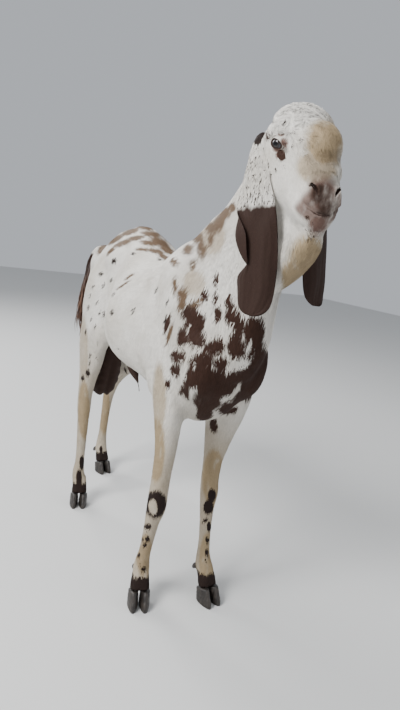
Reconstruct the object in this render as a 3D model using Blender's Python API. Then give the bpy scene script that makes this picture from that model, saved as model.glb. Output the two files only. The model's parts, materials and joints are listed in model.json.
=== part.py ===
"""A standing Makhi Cheeni buck goat, life size, as separate closed solids.

Metres, +Z up. The goat faces -Y and its left side is +X. It stands with its
right hind foot under the body, its left hind foot drawn back and its head
turned a little to its right. The flesh is lofted from named sections, fused,
smoothed and then parted with thin cuts into the pieces that a person would name.
"""

import math
import random

import bmesh
import bpy
import numpy as np
from mathutils import Matrix, Quaternion, Vector

# Driving dimensions
GAP = 0.0003
BODY_VOXEL = 0.0065
HEAD_VOXEL = 0.0036
BODY_SMOOTHING = 10
HEAD_SMOOTHING = 9
TORSO_SEGMENTS = 40
LIMB_SEGMENTS = 20
SEED = 7

# Planes that part the flesh
LEG_TOP_POINT = Vector((0.0, 0.0, 0.480))
LEG_TOP_NORMAL = Vector((0.0, -0.085, 1.0)).normalized()
KNEE_CUT_Z = 0.262
HOCK_CUT_Z = 0.300
NECK_BASE_POINT = Vector((0.0, -0.300, 0.800))
NECK_BASE_NORMAL = Vector((0.0, -0.62, 0.785))
HEAD_CUT_POINT = Vector((0.0, -0.462, 1.010))
HEAD_CUT_NORMAL = Vector((0.0, -0.80, 0.60))
TAIL_CUT_Y = 0.412
TAIL_LIMIT_X = 0.055
TAIL_LIMIT_Z = 0.600

# Triangle budgets after the fine surface is thinned
TORSO_TRIANGLES = 1900
NECK_TRIANGLES = 600
LEG_TRIANGLES = 330
HEAD_TRIANGLES = 2500
TAIL_TRIANGLES = 220

# The head's own frame: along the face, out of the forehead, to the left
EYE_LEVEL = Vector((-0.0108, -0.5399, 1.0659))
HEAD_YAW = math.radians(14.0)
HEAD_PITCH = math.radians(44.0)
HEAD_ROLL = math.radians(2.0)
EYE_ALONG = 0.075
EYE_RADIUS = 0.0145
EYE_SEAT = (0.078, 0.034, 0.047)
EYE_LOOK = (0.44, 0.26, 0.86)
EYE_OPENING = (0.96, 0.28, 0.0)

FORWARD = Vector((0.0, -1.0, 0.0))
UP = Vector((0.0, 0.0, 1.0))
LEFTWARD = Vector((1.0, 0.0, 0.0))


def head_axes():
    """The unit vectors along the face, out of the forehead and to the goat's left."""
    ahead = Vector((-math.sin(HEAD_YAW), -math.cos(HEAD_YAW), 0.0))
    left = Vector((math.cos(HEAD_YAW), -math.sin(HEAD_YAW), 0.0))
    along = ahead * math.cos(HEAD_PITCH) - UP * math.sin(HEAD_PITCH)
    out = ahead * math.sin(HEAD_PITCH) + UP * math.cos(HEAD_PITCH)
    tilt = Quaternion(along, HEAD_ROLL)
    return along, tilt @ out, tilt @ left


ALONG, OUT, LEFT = head_axes()


def head_point(along, out, left):
    """A point given in the head's own frame, whose origin is at the poll."""
    return EYE_LEVEL + ALONG * (along - EYE_ALONG) + OUT * out + LEFT * left


def head_direction(along, out, left):
    """A unit direction given in the head's own frame."""
    return (ALONG * along + OUT * out + LEFT * left).normalized()


# Shape tools


def spline(rows, t):
    """A smooth value read from the rows of an array at t, from 0 at the first row to 1 at the last."""
    place = t * (len(rows) - 1)
    start = min(int(place), len(rows) - 2)
    u = place - start
    before, first, second, after = (
        rows[max(start - 1, 0)],
        rows[start],
        rows[start + 1],
        rows[min(start + 2, len(rows) - 1)],
    )
    return 0.5 * (
        2 * first
        + (second - before) * u
        + (2 * before - 5 * first + 4 * second - after) * u * u
        + (3 * first - before - 3 * second + after) * u**3
    )


def signed_power(value, power):
    return math.copysign(abs(value) ** power, value)


def add_tube(bm, sections, toward, rings, segments, power=2.0, narrow_top=0.0, narrow_base=0.0):
    """Adds a closed tube through sections of (x, y, z, half width, reach toward, reach away)."""
    rows = np.array(sections, float)
    made = bmesh.ops.create_grid(bm, x_segments=rings, y_segments=segments, size=1.0)["verts"]
    step = 1e-3
    for vert in made:
        t = (vert.co.x + 1) / 2
        angle = vert.co.y * math.pi
        row = spline(rows, t)
        tangent = Vector(spline(rows, min(t + step, 1))[:3] - spline(rows, max(t - step, 0))[:3])
        tangent.normalize()
        reach_axis = (toward - tangent * toward.dot(tangent)).normalized()
        side_axis = tangent.cross(reach_axis)
        sine = signed_power(math.sin(angle), 2 / power)
        cosine = signed_power(math.cos(angle), 2 / power)
        reach = row[4] if sine > 0 else row[5]
        narrow = narrow_top if sine > 0 else narrow_base
        width = row[3] * (1 - narrow * abs(sine))
        vert.co = Vector(row[:3]) + side_axis * (width * cosine) + reach_axis * (reach * sine)
    bmesh.ops.remove_doubles(bm, verts=made, dist=1e-6)
    made = [vert for vert in made if vert.is_valid]
    rims = [edge for edge in {e for vert in made for e in vert.link_edges} if edge.is_boundary]
    bmesh.ops.holes_fill(bm, edges=rims, sides=0)
    faces = list({face for vert in made for face in vert.link_faces})
    bmesh.ops.recalc_face_normals(bm, faces=faces)


def add_ball(bm, centre, radii, turn=None, segments=20):
    """Adds an ellipsoid with its three radii along the axes of turn."""
    matrix = Matrix.Translation(centre)
    if turn is not None:
        matrix = matrix @ turn.to_4x4()
    matrix = matrix @ Matrix.Diagonal((*radii, 1.0))
    bmesh.ops.create_uvsphere(bm, u_segments=segments, v_segments=segments // 2, radius=1.0, matrix=matrix)


def head_turn():
    """The head's own frame as a rotation whose axes are along, out and left."""
    return Matrix((ALONG, OUT, LEFT)).transposed()


def object_from(bm, name):
    mesh = bpy.data.meshes.new(name)
    bmesh.ops.triangulate(bm, faces=bm.faces)
    bm.to_mesh(mesh)
    bm.free()
    made = bpy.data.objects.new(name, mesh)
    bpy.context.scene.collection.objects.link(made)
    return made


def drop(*objects):
    for made in objects:
        bpy.data.objects.remove(made)


def settled(made):
    """Applies an object's modifiers to its mesh."""
    bpy.context.view_layer.update()
    graph = bpy.context.evaluated_depsgraph_get()
    mesh = bpy.data.meshes.new_from_object(made.evaluated_get(graph))
    made.modifiers.clear()
    made.data = mesh
    return made


def fused(made, voxel, smoothing):
    """Melts an object's overlapping shapes into one smooth surface."""
    remesh = made.modifiers.new("fuse", "REMESH")
    remesh.mode = "VOXEL"
    remesh.voxel_size = voxel
    smooth = made.modifiers.new("smooth", "SMOOTH")
    smooth.factor = 0.5
    smooth.iterations = smoothing
    return settled(made)


def thinned(made, triangles):
    """Brings a surface down to about this many triangles, keeping its form."""
    made.data.calc_loop_triangles()
    thin = made.modifiers.new("thin", "DECIMATE")
    thin.ratio = min(1.0, triangles / len(made.data.loop_triangles))
    thin.use_collapse_triangulate = True
    return settled(made)


def combined(made, others, operation, solver="MANIFOLD"):
    """Joins or cuts an object with others by one Boolean, then drops the others."""
    group = bpy.data.collections.new("tools")
    for other in others:
        group.objects.link(other)
    boolean = made.modifiers.new("combine", "BOOLEAN")
    boolean.operation = operation
    boolean.operand_type = "COLLECTION"
    boolean.collection = group
    boolean.solver = solver
    settled(made)
    drop(*others)
    bpy.data.collections.remove(group)
    return largest(made)


def largest(made):
    """Keeps the largest connected surface of an object."""
    bm = bmesh.new()
    bm.from_mesh(made.data)
    bmesh.ops.remove_doubles(bm, verts=bm.verts, dist=2e-6)
    unseen = set(bm.faces)
    groups = []
    while unseen:
        stack = [unseen.pop()]
        group = []
        while stack:
            face = stack.pop()
            group.append(face)
            for edge in face.edges:
                for near in edge.link_faces:
                    if near in unseen:
                        unseen.remove(near)
                        stack.append(near)
        groups.append(group)
    groups.sort(key=lambda group: sum(face.calc_area() for face in group))
    spare = [face for group in groups[:-1] for face in group]
    if spare:
        bmesh.ops.delete(bm, geom=spare, context="FACES")
        bmesh.ops.delete(bm, geom=[v for v in bm.verts if not v.link_faces], context="VERTS")
    bm.to_mesh(made.data)
    bm.free()
    return made


def parted(source, name, planes):
    """A copy of the source that keeps what lies behind each plane of (point, normal)."""
    bm = bmesh.new()
    bm.from_mesh(source.data)
    for point, normal in planes:
        whole = [*bm.verts, *bm.edges, *bm.faces]
        cut = bmesh.ops.bisect_plane(
            bm, geom=whole, dist=1e-6, plane_co=point, plane_no=normal, clear_outer=True
        )["geom_cut"]
        rim = [edge for edge in cut if isinstance(edge, bmesh.types.BMEdge) and edge.is_boundary]
        if rim:
            bmesh.ops.triangle_fill(bm, edges=rim, use_beauty=True, normal=normal)
    bmesh.ops.recalc_face_normals(bm, faces=bm.faces)
    return largest(object_from(bm, name))


def above(z):
    return Vector((0, 0, z + GAP / 2)), Vector((0, 0, -1))


def below(z):
    return Vector((0, 0, z - GAP / 2)), Vector((0, 0, 1))


# Sections of the flesh: x, y, z, half width, reach toward, reach away

# The trunk runs back from the breast; reach toward is up to the spine.
TORSO_SECTIONS = (
    (0, -0.470, 0.680, 0.030, 0.040, 0.040),
    (0, -0.452, 0.682, 0.068, 0.085, 0.080),
    (0, -0.405, 0.682, 0.098, 0.150, 0.135),
    (0, -0.340, 0.680, 0.110, 0.205, 0.186),
    (0, -0.270, 0.680, 0.117, 0.235, 0.184),
    (0, -0.200, 0.680, 0.123, 0.230, 0.168),
    (0, -0.130, 0.680, 0.138, 0.184, 0.152),
    (0, -0.060, 0.680, 0.148, 0.196, 0.147),
    (0, 0.000, 0.680, 0.139, 0.221, 0.146),
    (0, 0.060, 0.683, 0.110, 0.238, 0.145),
    (0, 0.115, 0.690, 0.093, 0.244, 0.138),
    (0, 0.180, 0.700, 0.090, 0.237, 0.126),
    (0, 0.245, 0.716, 0.088, 0.210, 0.122),
    (0, 0.318, 0.732, 0.081, 0.165, 0.108),
    (0, 0.363, 0.743, 0.062, 0.114, 0.080),
    (0, 0.392, 0.750, 0.038, 0.068, 0.046),
)

# The neck rises forward from between the shoulders into the head.
NECK_SECTIONS = (
    (0, -0.300, 0.715, 0.104, 0.190, 0.190),
    (0, -0.340, 0.790, 0.096, 0.190, 0.188),
    (0, -0.386, 0.865, 0.074, 0.158, 0.154),
    (0, -0.418, 0.912, 0.064, 0.134, 0.130),
    (-0.001, -0.441, 0.955, 0.058, 0.112, 0.110),
    (-0.002, -0.464, 1.003, 0.053, 0.092, 0.092),
    (-0.003, -0.487, 1.050, 0.049, 0.076, 0.070),
    (-0.004, -0.510, 1.094, 0.040, 0.056, 0.050),
)

# Each leg runs down from inside the trunk; reach toward is forward.
RIGHT_FORE_SECTIONS = (
    (-0.076, -0.285, 0.660, 0.044, 0.075, 0.070),
    (-0.080, -0.305, 0.580, 0.040, 0.062, 0.060),
    (-0.083, -0.322, 0.510, 0.034, 0.048, 0.044),
    (-0.084, -0.333, 0.440, 0.028, 0.035, 0.031),
    (-0.084, -0.331, 0.370, 0.0245, 0.028, 0.026),
    (-0.084, -0.328, 0.315, 0.0245, 0.027, 0.026),
    (-0.084, -0.326, 0.280, 0.0255, 0.029, 0.024),
    (-0.084, -0.317, 0.240, 0.0205, 0.022, 0.023),
    (-0.082, -0.304, 0.180, 0.0175, 0.0185, 0.0205),
    (-0.079, -0.289, 0.125, 0.0175, 0.0185, 0.0215),
    (-0.077, -0.280, 0.088, 0.0225, 0.0220, 0.0265),
    (-0.082, -0.292, 0.060, 0.0195, 0.0185, 0.0185),
)
LEFT_FORE_SECTIONS = (
    (0.080, -0.290, 0.660, 0.048, 0.085, 0.070),
    (0.090, -0.300, 0.580, 0.052, 0.082, 0.064),
    (0.090, -0.297, 0.510, 0.050, 0.066, 0.054),
    (0.087, -0.292, 0.440, 0.038, 0.046, 0.038),
    (0.085, -0.288, 0.370, 0.027, 0.031, 0.028),
    (0.084, -0.290, 0.315, 0.025, 0.027, 0.026),
    (0.084, -0.294, 0.280, 0.026, 0.029, 0.024),
    (0.084, -0.297, 0.240, 0.021, 0.022, 0.023),
    (0.085, -0.303, 0.180, 0.0175, 0.0185, 0.0205),
    (0.085, -0.311, 0.125, 0.0175, 0.0185, 0.0215),
    (0.085, -0.318, 0.088, 0.0225, 0.0220, 0.0265),
    (0.086, -0.331, 0.060, 0.0195, 0.0185, 0.0185),
)
RIGHT_HIND_SECTIONS = (
    (-0.030, 0.262, 0.815, 0.032, 0.080, 0.070),
    (-0.057, 0.246, 0.750, 0.041, 0.102, 0.088),
    (-0.069, 0.228, 0.685, 0.044, 0.106, 0.100),
    (-0.075, 0.210, 0.620, 0.042, 0.086, 0.094),
    (-0.079, 0.216, 0.560, 0.038, 0.076, 0.102),
    (-0.080, 0.222, 0.505, 0.033, 0.068, 0.092),
    (-0.080, 0.237, 0.430, 0.026, 0.042, 0.056),
    (-0.080, 0.246, 0.370, 0.0225, 0.031, 0.044),
    (-0.080, 0.246, 0.330, 0.0225, 0.029, 0.037),
    (-0.080, 0.242, 0.280, 0.0195, 0.022, 0.027),
    (-0.080, 0.239, 0.200, 0.0175, 0.0185, 0.0205),
    (-0.080, 0.238, 0.135, 0.0175, 0.0185, 0.0215),
    (-0.080, 0.240, 0.092, 0.0220, 0.0220, 0.0265),
    (-0.080, 0.229, 0.062, 0.0195, 0.0185, 0.0185),
)
LEFT_HIND_SECTIONS = (
    (0.032, 0.265, 0.815, 0.034, 0.085, 0.070),
    (0.060, 0.254, 0.750, 0.042, 0.104, 0.092),
    (0.073, 0.246, 0.685, 0.046, 0.110, 0.104),
    (0.082, 0.252, 0.610, 0.043, 0.096, 0.104),
    (0.087, 0.284, 0.550, 0.039, 0.086, 0.094),
    (0.088, 0.318, 0.495, 0.034, 0.076, 0.078),
    (0.088, 0.372, 0.430, 0.027, 0.048, 0.052),
    (0.086, 0.420, 0.370, 0.023, 0.034, 0.040),
    (0.085, 0.442, 0.330, 0.0225, 0.030, 0.036),
    (0.085, 0.455, 0.280, 0.0195, 0.022, 0.027),
    (0.085, 0.464, 0.200, 0.0175, 0.0185, 0.0205),
    (0.085, 0.468, 0.135, 0.0175, 0.0185, 0.0215),
    (0.085, 0.470, 0.092, 0.0220, 0.0220, 0.0265),
    (0.084, 0.456, 0.062, 0.0195, 0.0185, 0.0185),
)

# The dock of the tail leaves the rump level and droops behind it.
TAIL_SECTIONS = (
    (0.000, 0.345, 0.826, 0.024, 0.030, 0.030),
    (-0.003, 0.388, 0.837, 0.022, 0.026, 0.026),
    (-0.014, 0.430, 0.832, 0.018, 0.022, 0.022),
    (-0.029, 0.456, 0.797, 0.014, 0.018, 0.018),
    (-0.038, 0.463, 0.745, 0.012, 0.016, 0.016),
    (-0.044, 0.464, 0.692, 0.010, 0.013, 0.013),
    (-0.049, 0.463, 0.647, 0.006, 0.006, 0.006),
)

# Along the face from the nape to the lips, as (along, half width, out, under)
SKULL_PROFILE = (
    (-0.030, 0.034, 0.026, 0.030),
    (-0.008, 0.048, 0.052, 0.050),
    (0.020, 0.059, 0.066, 0.066),
    (0.048, 0.066, 0.078, 0.076),
    (0.076, 0.067, 0.091, 0.080),
    (0.104, 0.058, 0.098, 0.077),
    (0.132, 0.048, 0.089, 0.070),
    (0.158, 0.042, 0.070, 0.061),
    (0.182, 0.040, 0.062, 0.050),
    (0.206, 0.038, 0.052, 0.036),
    (0.224, 0.032, 0.041, 0.020),
    (0.236, 0.018, 0.028, 0.004),
)

# The dewlap falls from the chin to the throat: x, y, z, half width, reach up, reach down
DEWLAP_SECTIONS = (
    (-0.040, -0.648, 0.954, 0.014, 0.014, 0.010),
    (-0.033, -0.636, 0.934, 0.025, 0.030, 0.024),
    (-0.025, -0.616, 0.915, 0.031, 0.052, 0.026),
    (-0.017, -0.588, 0.894, 0.032, 0.068, 0.027),
    (-0.009, -0.556, 0.872, 0.030, 0.076, 0.028),
    (-0.003, -0.518, 0.850, 0.026, 0.066, 0.026),
    (0.000, -0.482, 0.832, 0.022, 0.060, 0.022),
)


def add_legs(bm):
    for sections in (
        RIGHT_FORE_SECTIONS,
        LEFT_FORE_SECTIONS,
        RIGHT_HIND_SECTIONS,
        LEFT_HIND_SECTIONS,
    ):
        add_tube(bm, sections, FORWARD, 60, LIMB_SEGMENTS)


# What stands out under the skin on each side: place, radii, and lean in degrees
MUSCLES = {
    "shoulder": ((0.072, -0.298, 0.722), (0.042, 0.098, 0.162), -18),
    "breast": ((0.058, -0.385, 0.655), (0.052, 0.070, 0.095), 0),
    "elbow": ((0.078, -0.265, 0.585), (0.036, 0.062, 0.066), 0),
    "hip": ((0.046, 0.156, 0.822), (0.038, 0.086, 0.056), 0),
    "pin": ((0.038, 0.338, 0.790), (0.033, 0.058, 0.056), 0),
    "buttock": ((0.044, 0.332, 0.720), (0.034, 0.052, 0.074), 0),
    "back of the thigh": ((0.042, 0.296, 0.648), (0.030, 0.044, 0.100), -22),
}
STIFLE_ACROSS = 0.080
STIFLE_HEIGHT = 0.600
STIFLE_RADII = (0.034, 0.054, 0.086)
RIGHT_STIFLE_Y = 0.174
LEFT_STIFLE_Y = 0.195


def add_muscles(bm):
    """The shoulders, breast, elbows, hips, thighs and stifles that stand out under the skin."""
    for side, stifle_y in ((-1, RIGHT_STIFLE_Y), (1, LEFT_STIFLE_Y)):
        for (x, y, z), radii, lean in MUSCLES.values():
            add_ball(bm, Vector((side * x, y, z)), radii, Matrix.Rotation(math.radians(lean), 3, "X"))
        add_ball(bm, Vector((side * STIFLE_ACROSS, stifle_y, STIFLE_HEIGHT)), STIFLE_RADII)


def add_digits(bm, foot):
    """The two toes between a fetlock and its claws."""
    for side in (-1, 1):
        top = foot.place(side * 0.0095, -0.024, 0.088)
        middle = foot.place(side * 0.0120, -0.013, 0.060)
        base = foot.place(side * 0.0142, 0.002, 0.026)
        rows = (
            (*top, 0.0125, 0.0180, 0.0185),
            (*middle, 0.0135, 0.0190, 0.0185),
            (*base, 0.0150, 0.0240, 0.0220),
        )
        add_tube(bm, rows, foot.ahead(), 8, 14)


class Foot:
    """Where a foot stands, which way its toes point, and which leg it ends."""

    def __init__(self, name, x, y, turn_out):
        self.name = name
        self.centre = Vector((x, y, 0.0))
        self.turn = math.radians(turn_out) * (1 if x > 0 else -1)

    def ahead(self):
        return Vector((math.sin(self.turn), -math.cos(self.turn), 0.0))

    def place(self, across, ahead, height):
        """A point of the foot: across its cleft, ahead of its centre, above the floor."""
        to_left = Vector((math.cos(self.turn), math.sin(self.turn), 0.0))
        return self.centre + to_left * across + self.ahead() * ahead + UP * height


FEET = {
    "fore_right": Foot("fore_right", -0.087, -0.304, 20),
    "fore_left": Foot("fore_left", 0.088, -0.350, 4),
    "hind_right": Foot("hind_right", -0.080, 0.214, 18),
    "hind_left": Foot("hind_left", 0.083, 0.434, 6),
}
CORONET_HEIGHT = 0.036
CORONET_FALL = 0.32
CLAW_ACROSS = 0.0148
CLAW_POINT = 0.30

# A claw from above its coronet down to its sole: height, ahead, half width, toe, heel
CLAW_SECTIONS = (
    (0.062, -0.012, 0.0112, 0.0170, 0.0180),
    (0.044, -0.006, 0.0124, 0.0210, 0.0180),
    (0.022, 0.002, 0.0132, 0.0275, 0.0205),
    (0.004, 0.007, 0.0132, 0.0330, 0.0215),
    (0.000, 0.007, 0.0126, 0.0325, 0.0210),
)
DEWCLAW_ROOT = (0.0110, -0.038, 0.078)
DEWCLAW_TIP = (0.0145, -0.054, 0.063)


def body_flesh():
    """The trunk, neck, legs and dock, melted into one surface."""
    bm = bmesh.new()
    add_tube(bm, TORSO_SECTIONS, UP, 90, TORSO_SEGMENTS, 2.15, narrow_top=0.22)
    add_tube(bm, NECK_SECTIONS, FORWARD, 40, 30, narrow_base=0.25)
    add_legs(bm)
    add_muscles(bm)
    for foot in FEET.values():
        add_digits(bm, foot)
    add_tube(bm, TAIL_SECTIONS, LEFTWARD, 30, 16)
    add_skull(bm)
    add_tube(bm, DEWLAP_SECTIONS, UP, 30, 20)
    return fused(object_from(bm, "body_flesh"), BODY_VOXEL, BODY_SMOOTHING)


def add_skull(bm):
    """The head's main form, with no small features."""
    rows = []
    for along, width, out, under in SKULL_PROFILE:
        rows.append((*head_point(along, 0, 0), width, out, under))
    add_tube(bm, rows, OUT, 50, 40, 2.3, narrow_top=0.34, narrow_base=0.30)


# Rounded forms of the face in the head's own frame: place, then radii along, out and across
MIDDLE_FORMS = {
    "woolly dome": ((0.110, 0.061, 0.006), (0.047, 0.045, 0.042)),
    "under the dome": ((0.150, 0.047, 0.006), (0.036, 0.026, 0.042)),
    "muzzle": ((0.186, 0.034, 0.000), (0.032, 0.032, 0.038)),
    "chin": ((0.222, 0.002, 0.000), (0.024, 0.022, 0.030)),
    "crown": ((0.032, 0.042, 0.006), (0.051, 0.041, 0.060)),
    "throat": ((0.150, -0.078, -0.002), (0.052, 0.046, 0.031)),
    "jaw floor": ((0.195, -0.045, 0.000), (0.040, 0.030, 0.029)),
}
PAIRED_FORMS = {
    "cheek": ((0.090, -0.032, 0.034), (0.060, 0.050, 0.026)),
    "brow": ((0.056, 0.030, 0.046), (0.030, 0.026, 0.019)),
    "nose side": ((0.168, 0.030, 0.018), (0.036, 0.032, 0.021)),
    "nostril wing": ((0.204, 0.034, 0.019), (0.020, 0.024, 0.018)),
    "upper lip": ((0.200, 0.010, 0.027), (0.028, 0.018, 0.015)),
}


def add_face(bm):
    """Cheeks, brows, the domed nose, muzzle, lips, chin and dewlap."""
    turn = head_turn()
    for place, radii in MIDDLE_FORMS.values():
        add_ball(bm, head_point(*place), radii, turn, 28)
    for (along, out, across), radii in PAIRED_FORMS.values():
        for side in (-1, 1):
            add_ball(bm, head_point(along, out, side * across), radii, turn)
    add_tube(bm, DEWLAP_SECTIONS, UP, 30, 20)


def eye_frame(side):
    """An eye's centre, the way it looks, and the directions along and across its opening."""
    along, out, across = EYE_SEAT
    centre = head_point(along, out, side * across)
    look = head_direction(EYE_LOOK[0], EYE_LOOK[1], side * EYE_LOOK[2])
    long_way = head_direction(*EYE_OPENING)
    long_way = (long_way - look * long_way.dot(look)).normalized()
    over = look.cross(long_way)
    if over.dot(OUT) < 0:
        over = -over
    return centre, look, long_way, over


LID_REACH = math.radians(70)
LID_TUBE = 0.0036
UPPER_LID_RISE = math.radians(34)
LOWER_LID_DROP = math.radians(-30)


def lids(side):
    """The upper and lower lid of one eye, as tubes bent round the eyeball."""
    centre, look, long_way, over = eye_frame(side)
    made = []
    for name, rise in (("upper", UPPER_LID_RISE), ("lower", LOWER_LID_DROP)):
        rows = []
        for step in range(9):
            u = step / 4 - 1
            swing = LID_REACH * u
            lift = rise * (1 - 0.85 * u * u)
            ray = (look * math.cos(swing) + long_way * math.sin(swing)) * math.cos(lift)
            ray += over * math.sin(lift)
            spot = centre + ray * (EYE_RADIUS + LID_TUBE * 0.55)
            size = LID_TUBE * (1 - 0.25 * u * u)
            rows.append((*spot, size, size, size))
        bm = bmesh.new()
        add_tube(bm, rows, look, 10, 6)
        made.append(object_from(bm, f"{name}_lid"))
    return made


def ball_object(name, centre, radius, segments=16):
    bm = bmesh.new()
    add_ball(bm, centre, (radius, radius, radius), None, segments)
    return object_from(bm, name)


MOUTH_LINE = (
    (0.204, 0.021, -0.047),
    (0.212, 0.020, -0.040),
    (0.222, 0.020, -0.032),
    (0.235, 0.022, -0.017),
    (0.240, 0.023, 0.0),
    (0.235, 0.022, 0.017),
    (0.222, 0.020, 0.032),
    (0.212, 0.020, 0.040),
    (0.204, 0.021, 0.047),
)


MOUTH_DEPTH = 0.0060
MOUTH_HALF_HEIGHT = 0.0012

# The comma of a nostril: along, out, across, half width, half height
NOSTRIL_LINE = (
    (0.227, 0.043, 0.0090, 0.0022, 0.0030),
    (0.221, 0.053, 0.0160, 0.0044, 0.0060),
    (0.207, 0.060, 0.0230, 0.0040, 0.0055),
    (0.194, 0.060, 0.0300, 0.0015, 0.0020),
)


def mouth_cutter():
    """A thin blade that follows the line where the lips meet."""
    size = (MOUTH_DEPTH, MOUTH_HALF_HEIGHT, MOUTH_HALF_HEIGHT)
    rows = [(*head_point(*spot), *size) for spot in MOUTH_LINE]
    bm = bmesh.new()
    add_tube(bm, rows, OUT, 20, 6)
    return object_from(bm, "mouth_cutter")


def nostril_cutter(side):
    """A slanting comma-shaped hollow in the side of the nose."""
    rows = [
        (*head_point(along, out, side * across), wide, high, high)
        for along, out, across, wide, high in NOSTRIL_LINE
    ]
    bm = bmesh.new()
    add_tube(bm, rows, ALONG, 8, 8)
    return object_from(bm, "nostril_cutter")


def head():
    """The whole head with its dewlap, lids, sockets, nostrils and mouth line."""
    bm = bmesh.new()
    add_skull(bm)
    add_face(bm)
    add_tube(bm, NECK_SECTIONS[2:], FORWARD, 24, 30, narrow_base=0.25)
    whole = fused(object_from(bm, "head_flesh"), HEAD_VOXEL, HEAD_SMOOTHING)
    front = parted(whole, "head", [(HEAD_CUT_POINT + HEAD_CUT_NORMAL * GAP, -HEAD_CUT_NORMAL)])
    drop(whole)
    thinned(front, HEAD_TRIANGLES)
    bare = duplicate(front)
    combined(front, [lid for side in (-1, 1) for lid in lids(side)], "UNION")
    cutters = [mouth_cutter()]
    for side in (-1, 1):
        cutters.append(nostril_cutter(side))
        cutters.append(ball_object("socket", eye_frame(side)[0], EYE_RADIUS + GAP))
    return combined(front, cutters, "DIFFERENCE"), bare


# Ears

EAR_THICKNESS = 0.0050
EAR_VOXEL = 0.0024
EAR_TRIANGLES = 800
EAR_RIPPLE = 0.004
EAR_FLAP = 0.013
EAR_FLAP_SPAN = (0.38, 0.74)
EAR_FLAP_EDGE = 0.4

# Where an ear leaves the head, in the head's own frame
EAR_INSIDE = (0.026, 0.012, 0.034)
EAR_ROOT = (0.023, 0.016, 0.060)

# Each ear from its root to its tip, as outward, back and up from the side of the head
RIGHT_EAR_DRIFT = (
    (0.000, 0.000, 0.000),
    (0.010, -0.003, -0.007),
    (0.017, -0.011, -0.032),
    (0.023, -0.023, -0.072),
    (0.027, -0.035, -0.116),
    (0.026, -0.045, -0.162),
    (0.022, -0.053, -0.208),
    (0.018, -0.058, -0.252),
    (0.014, -0.060, -0.294),
    (0.012, -0.060, -0.322),
)
LEFT_EAR_DRIFT = (
    (0.000, 0.000, 0.000),
    (0.010, -0.003, -0.007),
    (0.014, -0.010, -0.032),
    (0.012, -0.018, -0.070),
    (0.009, -0.025, -0.110),
    (0.010, -0.032, -0.152),
    (0.014, -0.037, -0.194),
    (0.017, -0.040, -0.232),
    (0.020, -0.041, -0.270),
    (0.022, -0.041, -0.296),
)
# Which way the back of each ear faces: up at its root, and outward where it hangs
RIGHT_EAR_FACES = ((-0.15, 0.25, 1.0), (-0.35, 0.10, 0.95), (-0.75, -0.15, 0.65), (-0.90, -0.38, 0.25))
LEFT_EAR_FACES = ((0.15, 0.25, 1.0), (0.35, 0.10, 0.95), (0.65, -0.45, 0.60), (0.50, -0.80, 0.20))
RIGHT_EAR_HANGING_FACE = (-0.90, -0.42, 0.0)
LEFT_EAR_HANGING_FACE = (0.35, -0.94, 0.0)
# From inside the head to the tip: width of the leaf laid flat, and how far it rolls in radians
RIGHT_EAR_WIDTHS = (0.060, 0.066, 0.070, 0.074, 0.078, 0.084, 0.088, 0.086, 0.078, 0.060, 0.024)
LEFT_EAR_WIDTHS = (0.060, 0.066, 0.070, 0.072, 0.076, 0.086, 0.096, 0.100, 0.096, 0.074, 0.026)
EAR_CURLS = (5.0, 4.6, 4.0, 3.2, 2.4, 1.8, 1.6, 1.7, 1.5, 1.1, 0.6)


def ear_rows(side):
    """Rows of place, facing, width and roll down the middle of an ear."""
    inside = head_point(*EAR_INSIDE[:2], side * EAR_INSIDE[2])
    root = head_point(*EAR_ROOT[:2], side * EAR_ROOT[2])
    drift = RIGHT_EAR_DRIFT if side < 0 else LEFT_EAR_DRIFT
    path = [inside] + [root + Vector((side * out, back, up)) for out, back, up in drift]
    faces = list(RIGHT_EAR_FACES if side < 0 else LEFT_EAR_FACES)
    hanging = RIGHT_EAR_HANGING_FACE if side < 0 else LEFT_EAR_HANGING_FACE
    faces += [hanging] * (len(path) - len(faces))
    widths = RIGHT_EAR_WIDTHS if side < 0 else LEFT_EAR_WIDTHS
    return np.array([(*p, *f, w, c) for p, f, w, c in zip(path, faces, widths, EAR_CURLS)])


def ear_flap(t, toward_back):
    """How far the back edge of an ear turns outward."""
    start, end = EAR_FLAP_SPAN
    if not start < t < end or toward_back < EAR_FLAP_EDGE:
        return 0.0
    rise = math.sin(math.pi * (t - start) / (end - start))
    return EAR_FLAP * rise * ((toward_back - EAR_FLAP_EDGE) / (1 - EAR_FLAP_EDGE)) ** 2


def add_ear_blade(bm, side):
    """The leaf of an ear: a rolled cup at its root that opens into a long curved trough."""
    rows = ear_rows(side)
    made = bmesh.ops.create_grid(bm, x_segments=34, y_segments=12, size=1.0)["verts"]
    for vert in made:
        t = (vert.co.x + 1) / 2
        across = vert.co.y
        row = spline(rows, t)
        tangent = Vector(spline(rows, min(t + 1e-3, 1))[:3] - spline(rows, max(t - 1e-3, 0))[:3])
        tangent.normalize()
        face = Vector(row[3:6])
        outward = (face - tangent * face.dot(tangent)).normalized()
        wide = tangent.cross(outward)
        radius = float(row[6] / row[7])
        angle = across * float(row[7]) / 2
        ripple = EAR_RIPPLE * math.sin(9 * t + 2.0 * across) * abs(across) * t
        lift = ripple + ear_flap(t, -side * across)
        vert.co = (
            Vector(row[:3])
            + wide * (radius * math.sin(angle))
            + outward * (radius * (math.cos(angle) - 1) + lift)
        )


def ear(side, name, skull):
    """One ear, met face to face by the head."""
    bm = bmesh.new()
    add_ear_blade(bm, side)
    leaf = object_from(bm, name)
    wall = leaf.modifiers.new("wall", "SOLIDIFY")
    wall.thickness = EAR_THICKNESS
    wall.offset = 0.0
    settled(leaf)
    made = thinned(fused(leaf, EAR_VOXEL, 2), EAR_TRIANGLES)
    return combined(made, [swollen(skull)], "DIFFERENCE")


def duplicate(source):
    copy = source.copy()
    copy.data = source.data.copy()
    bpy.context.scene.collection.objects.link(copy)
    return copy


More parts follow.
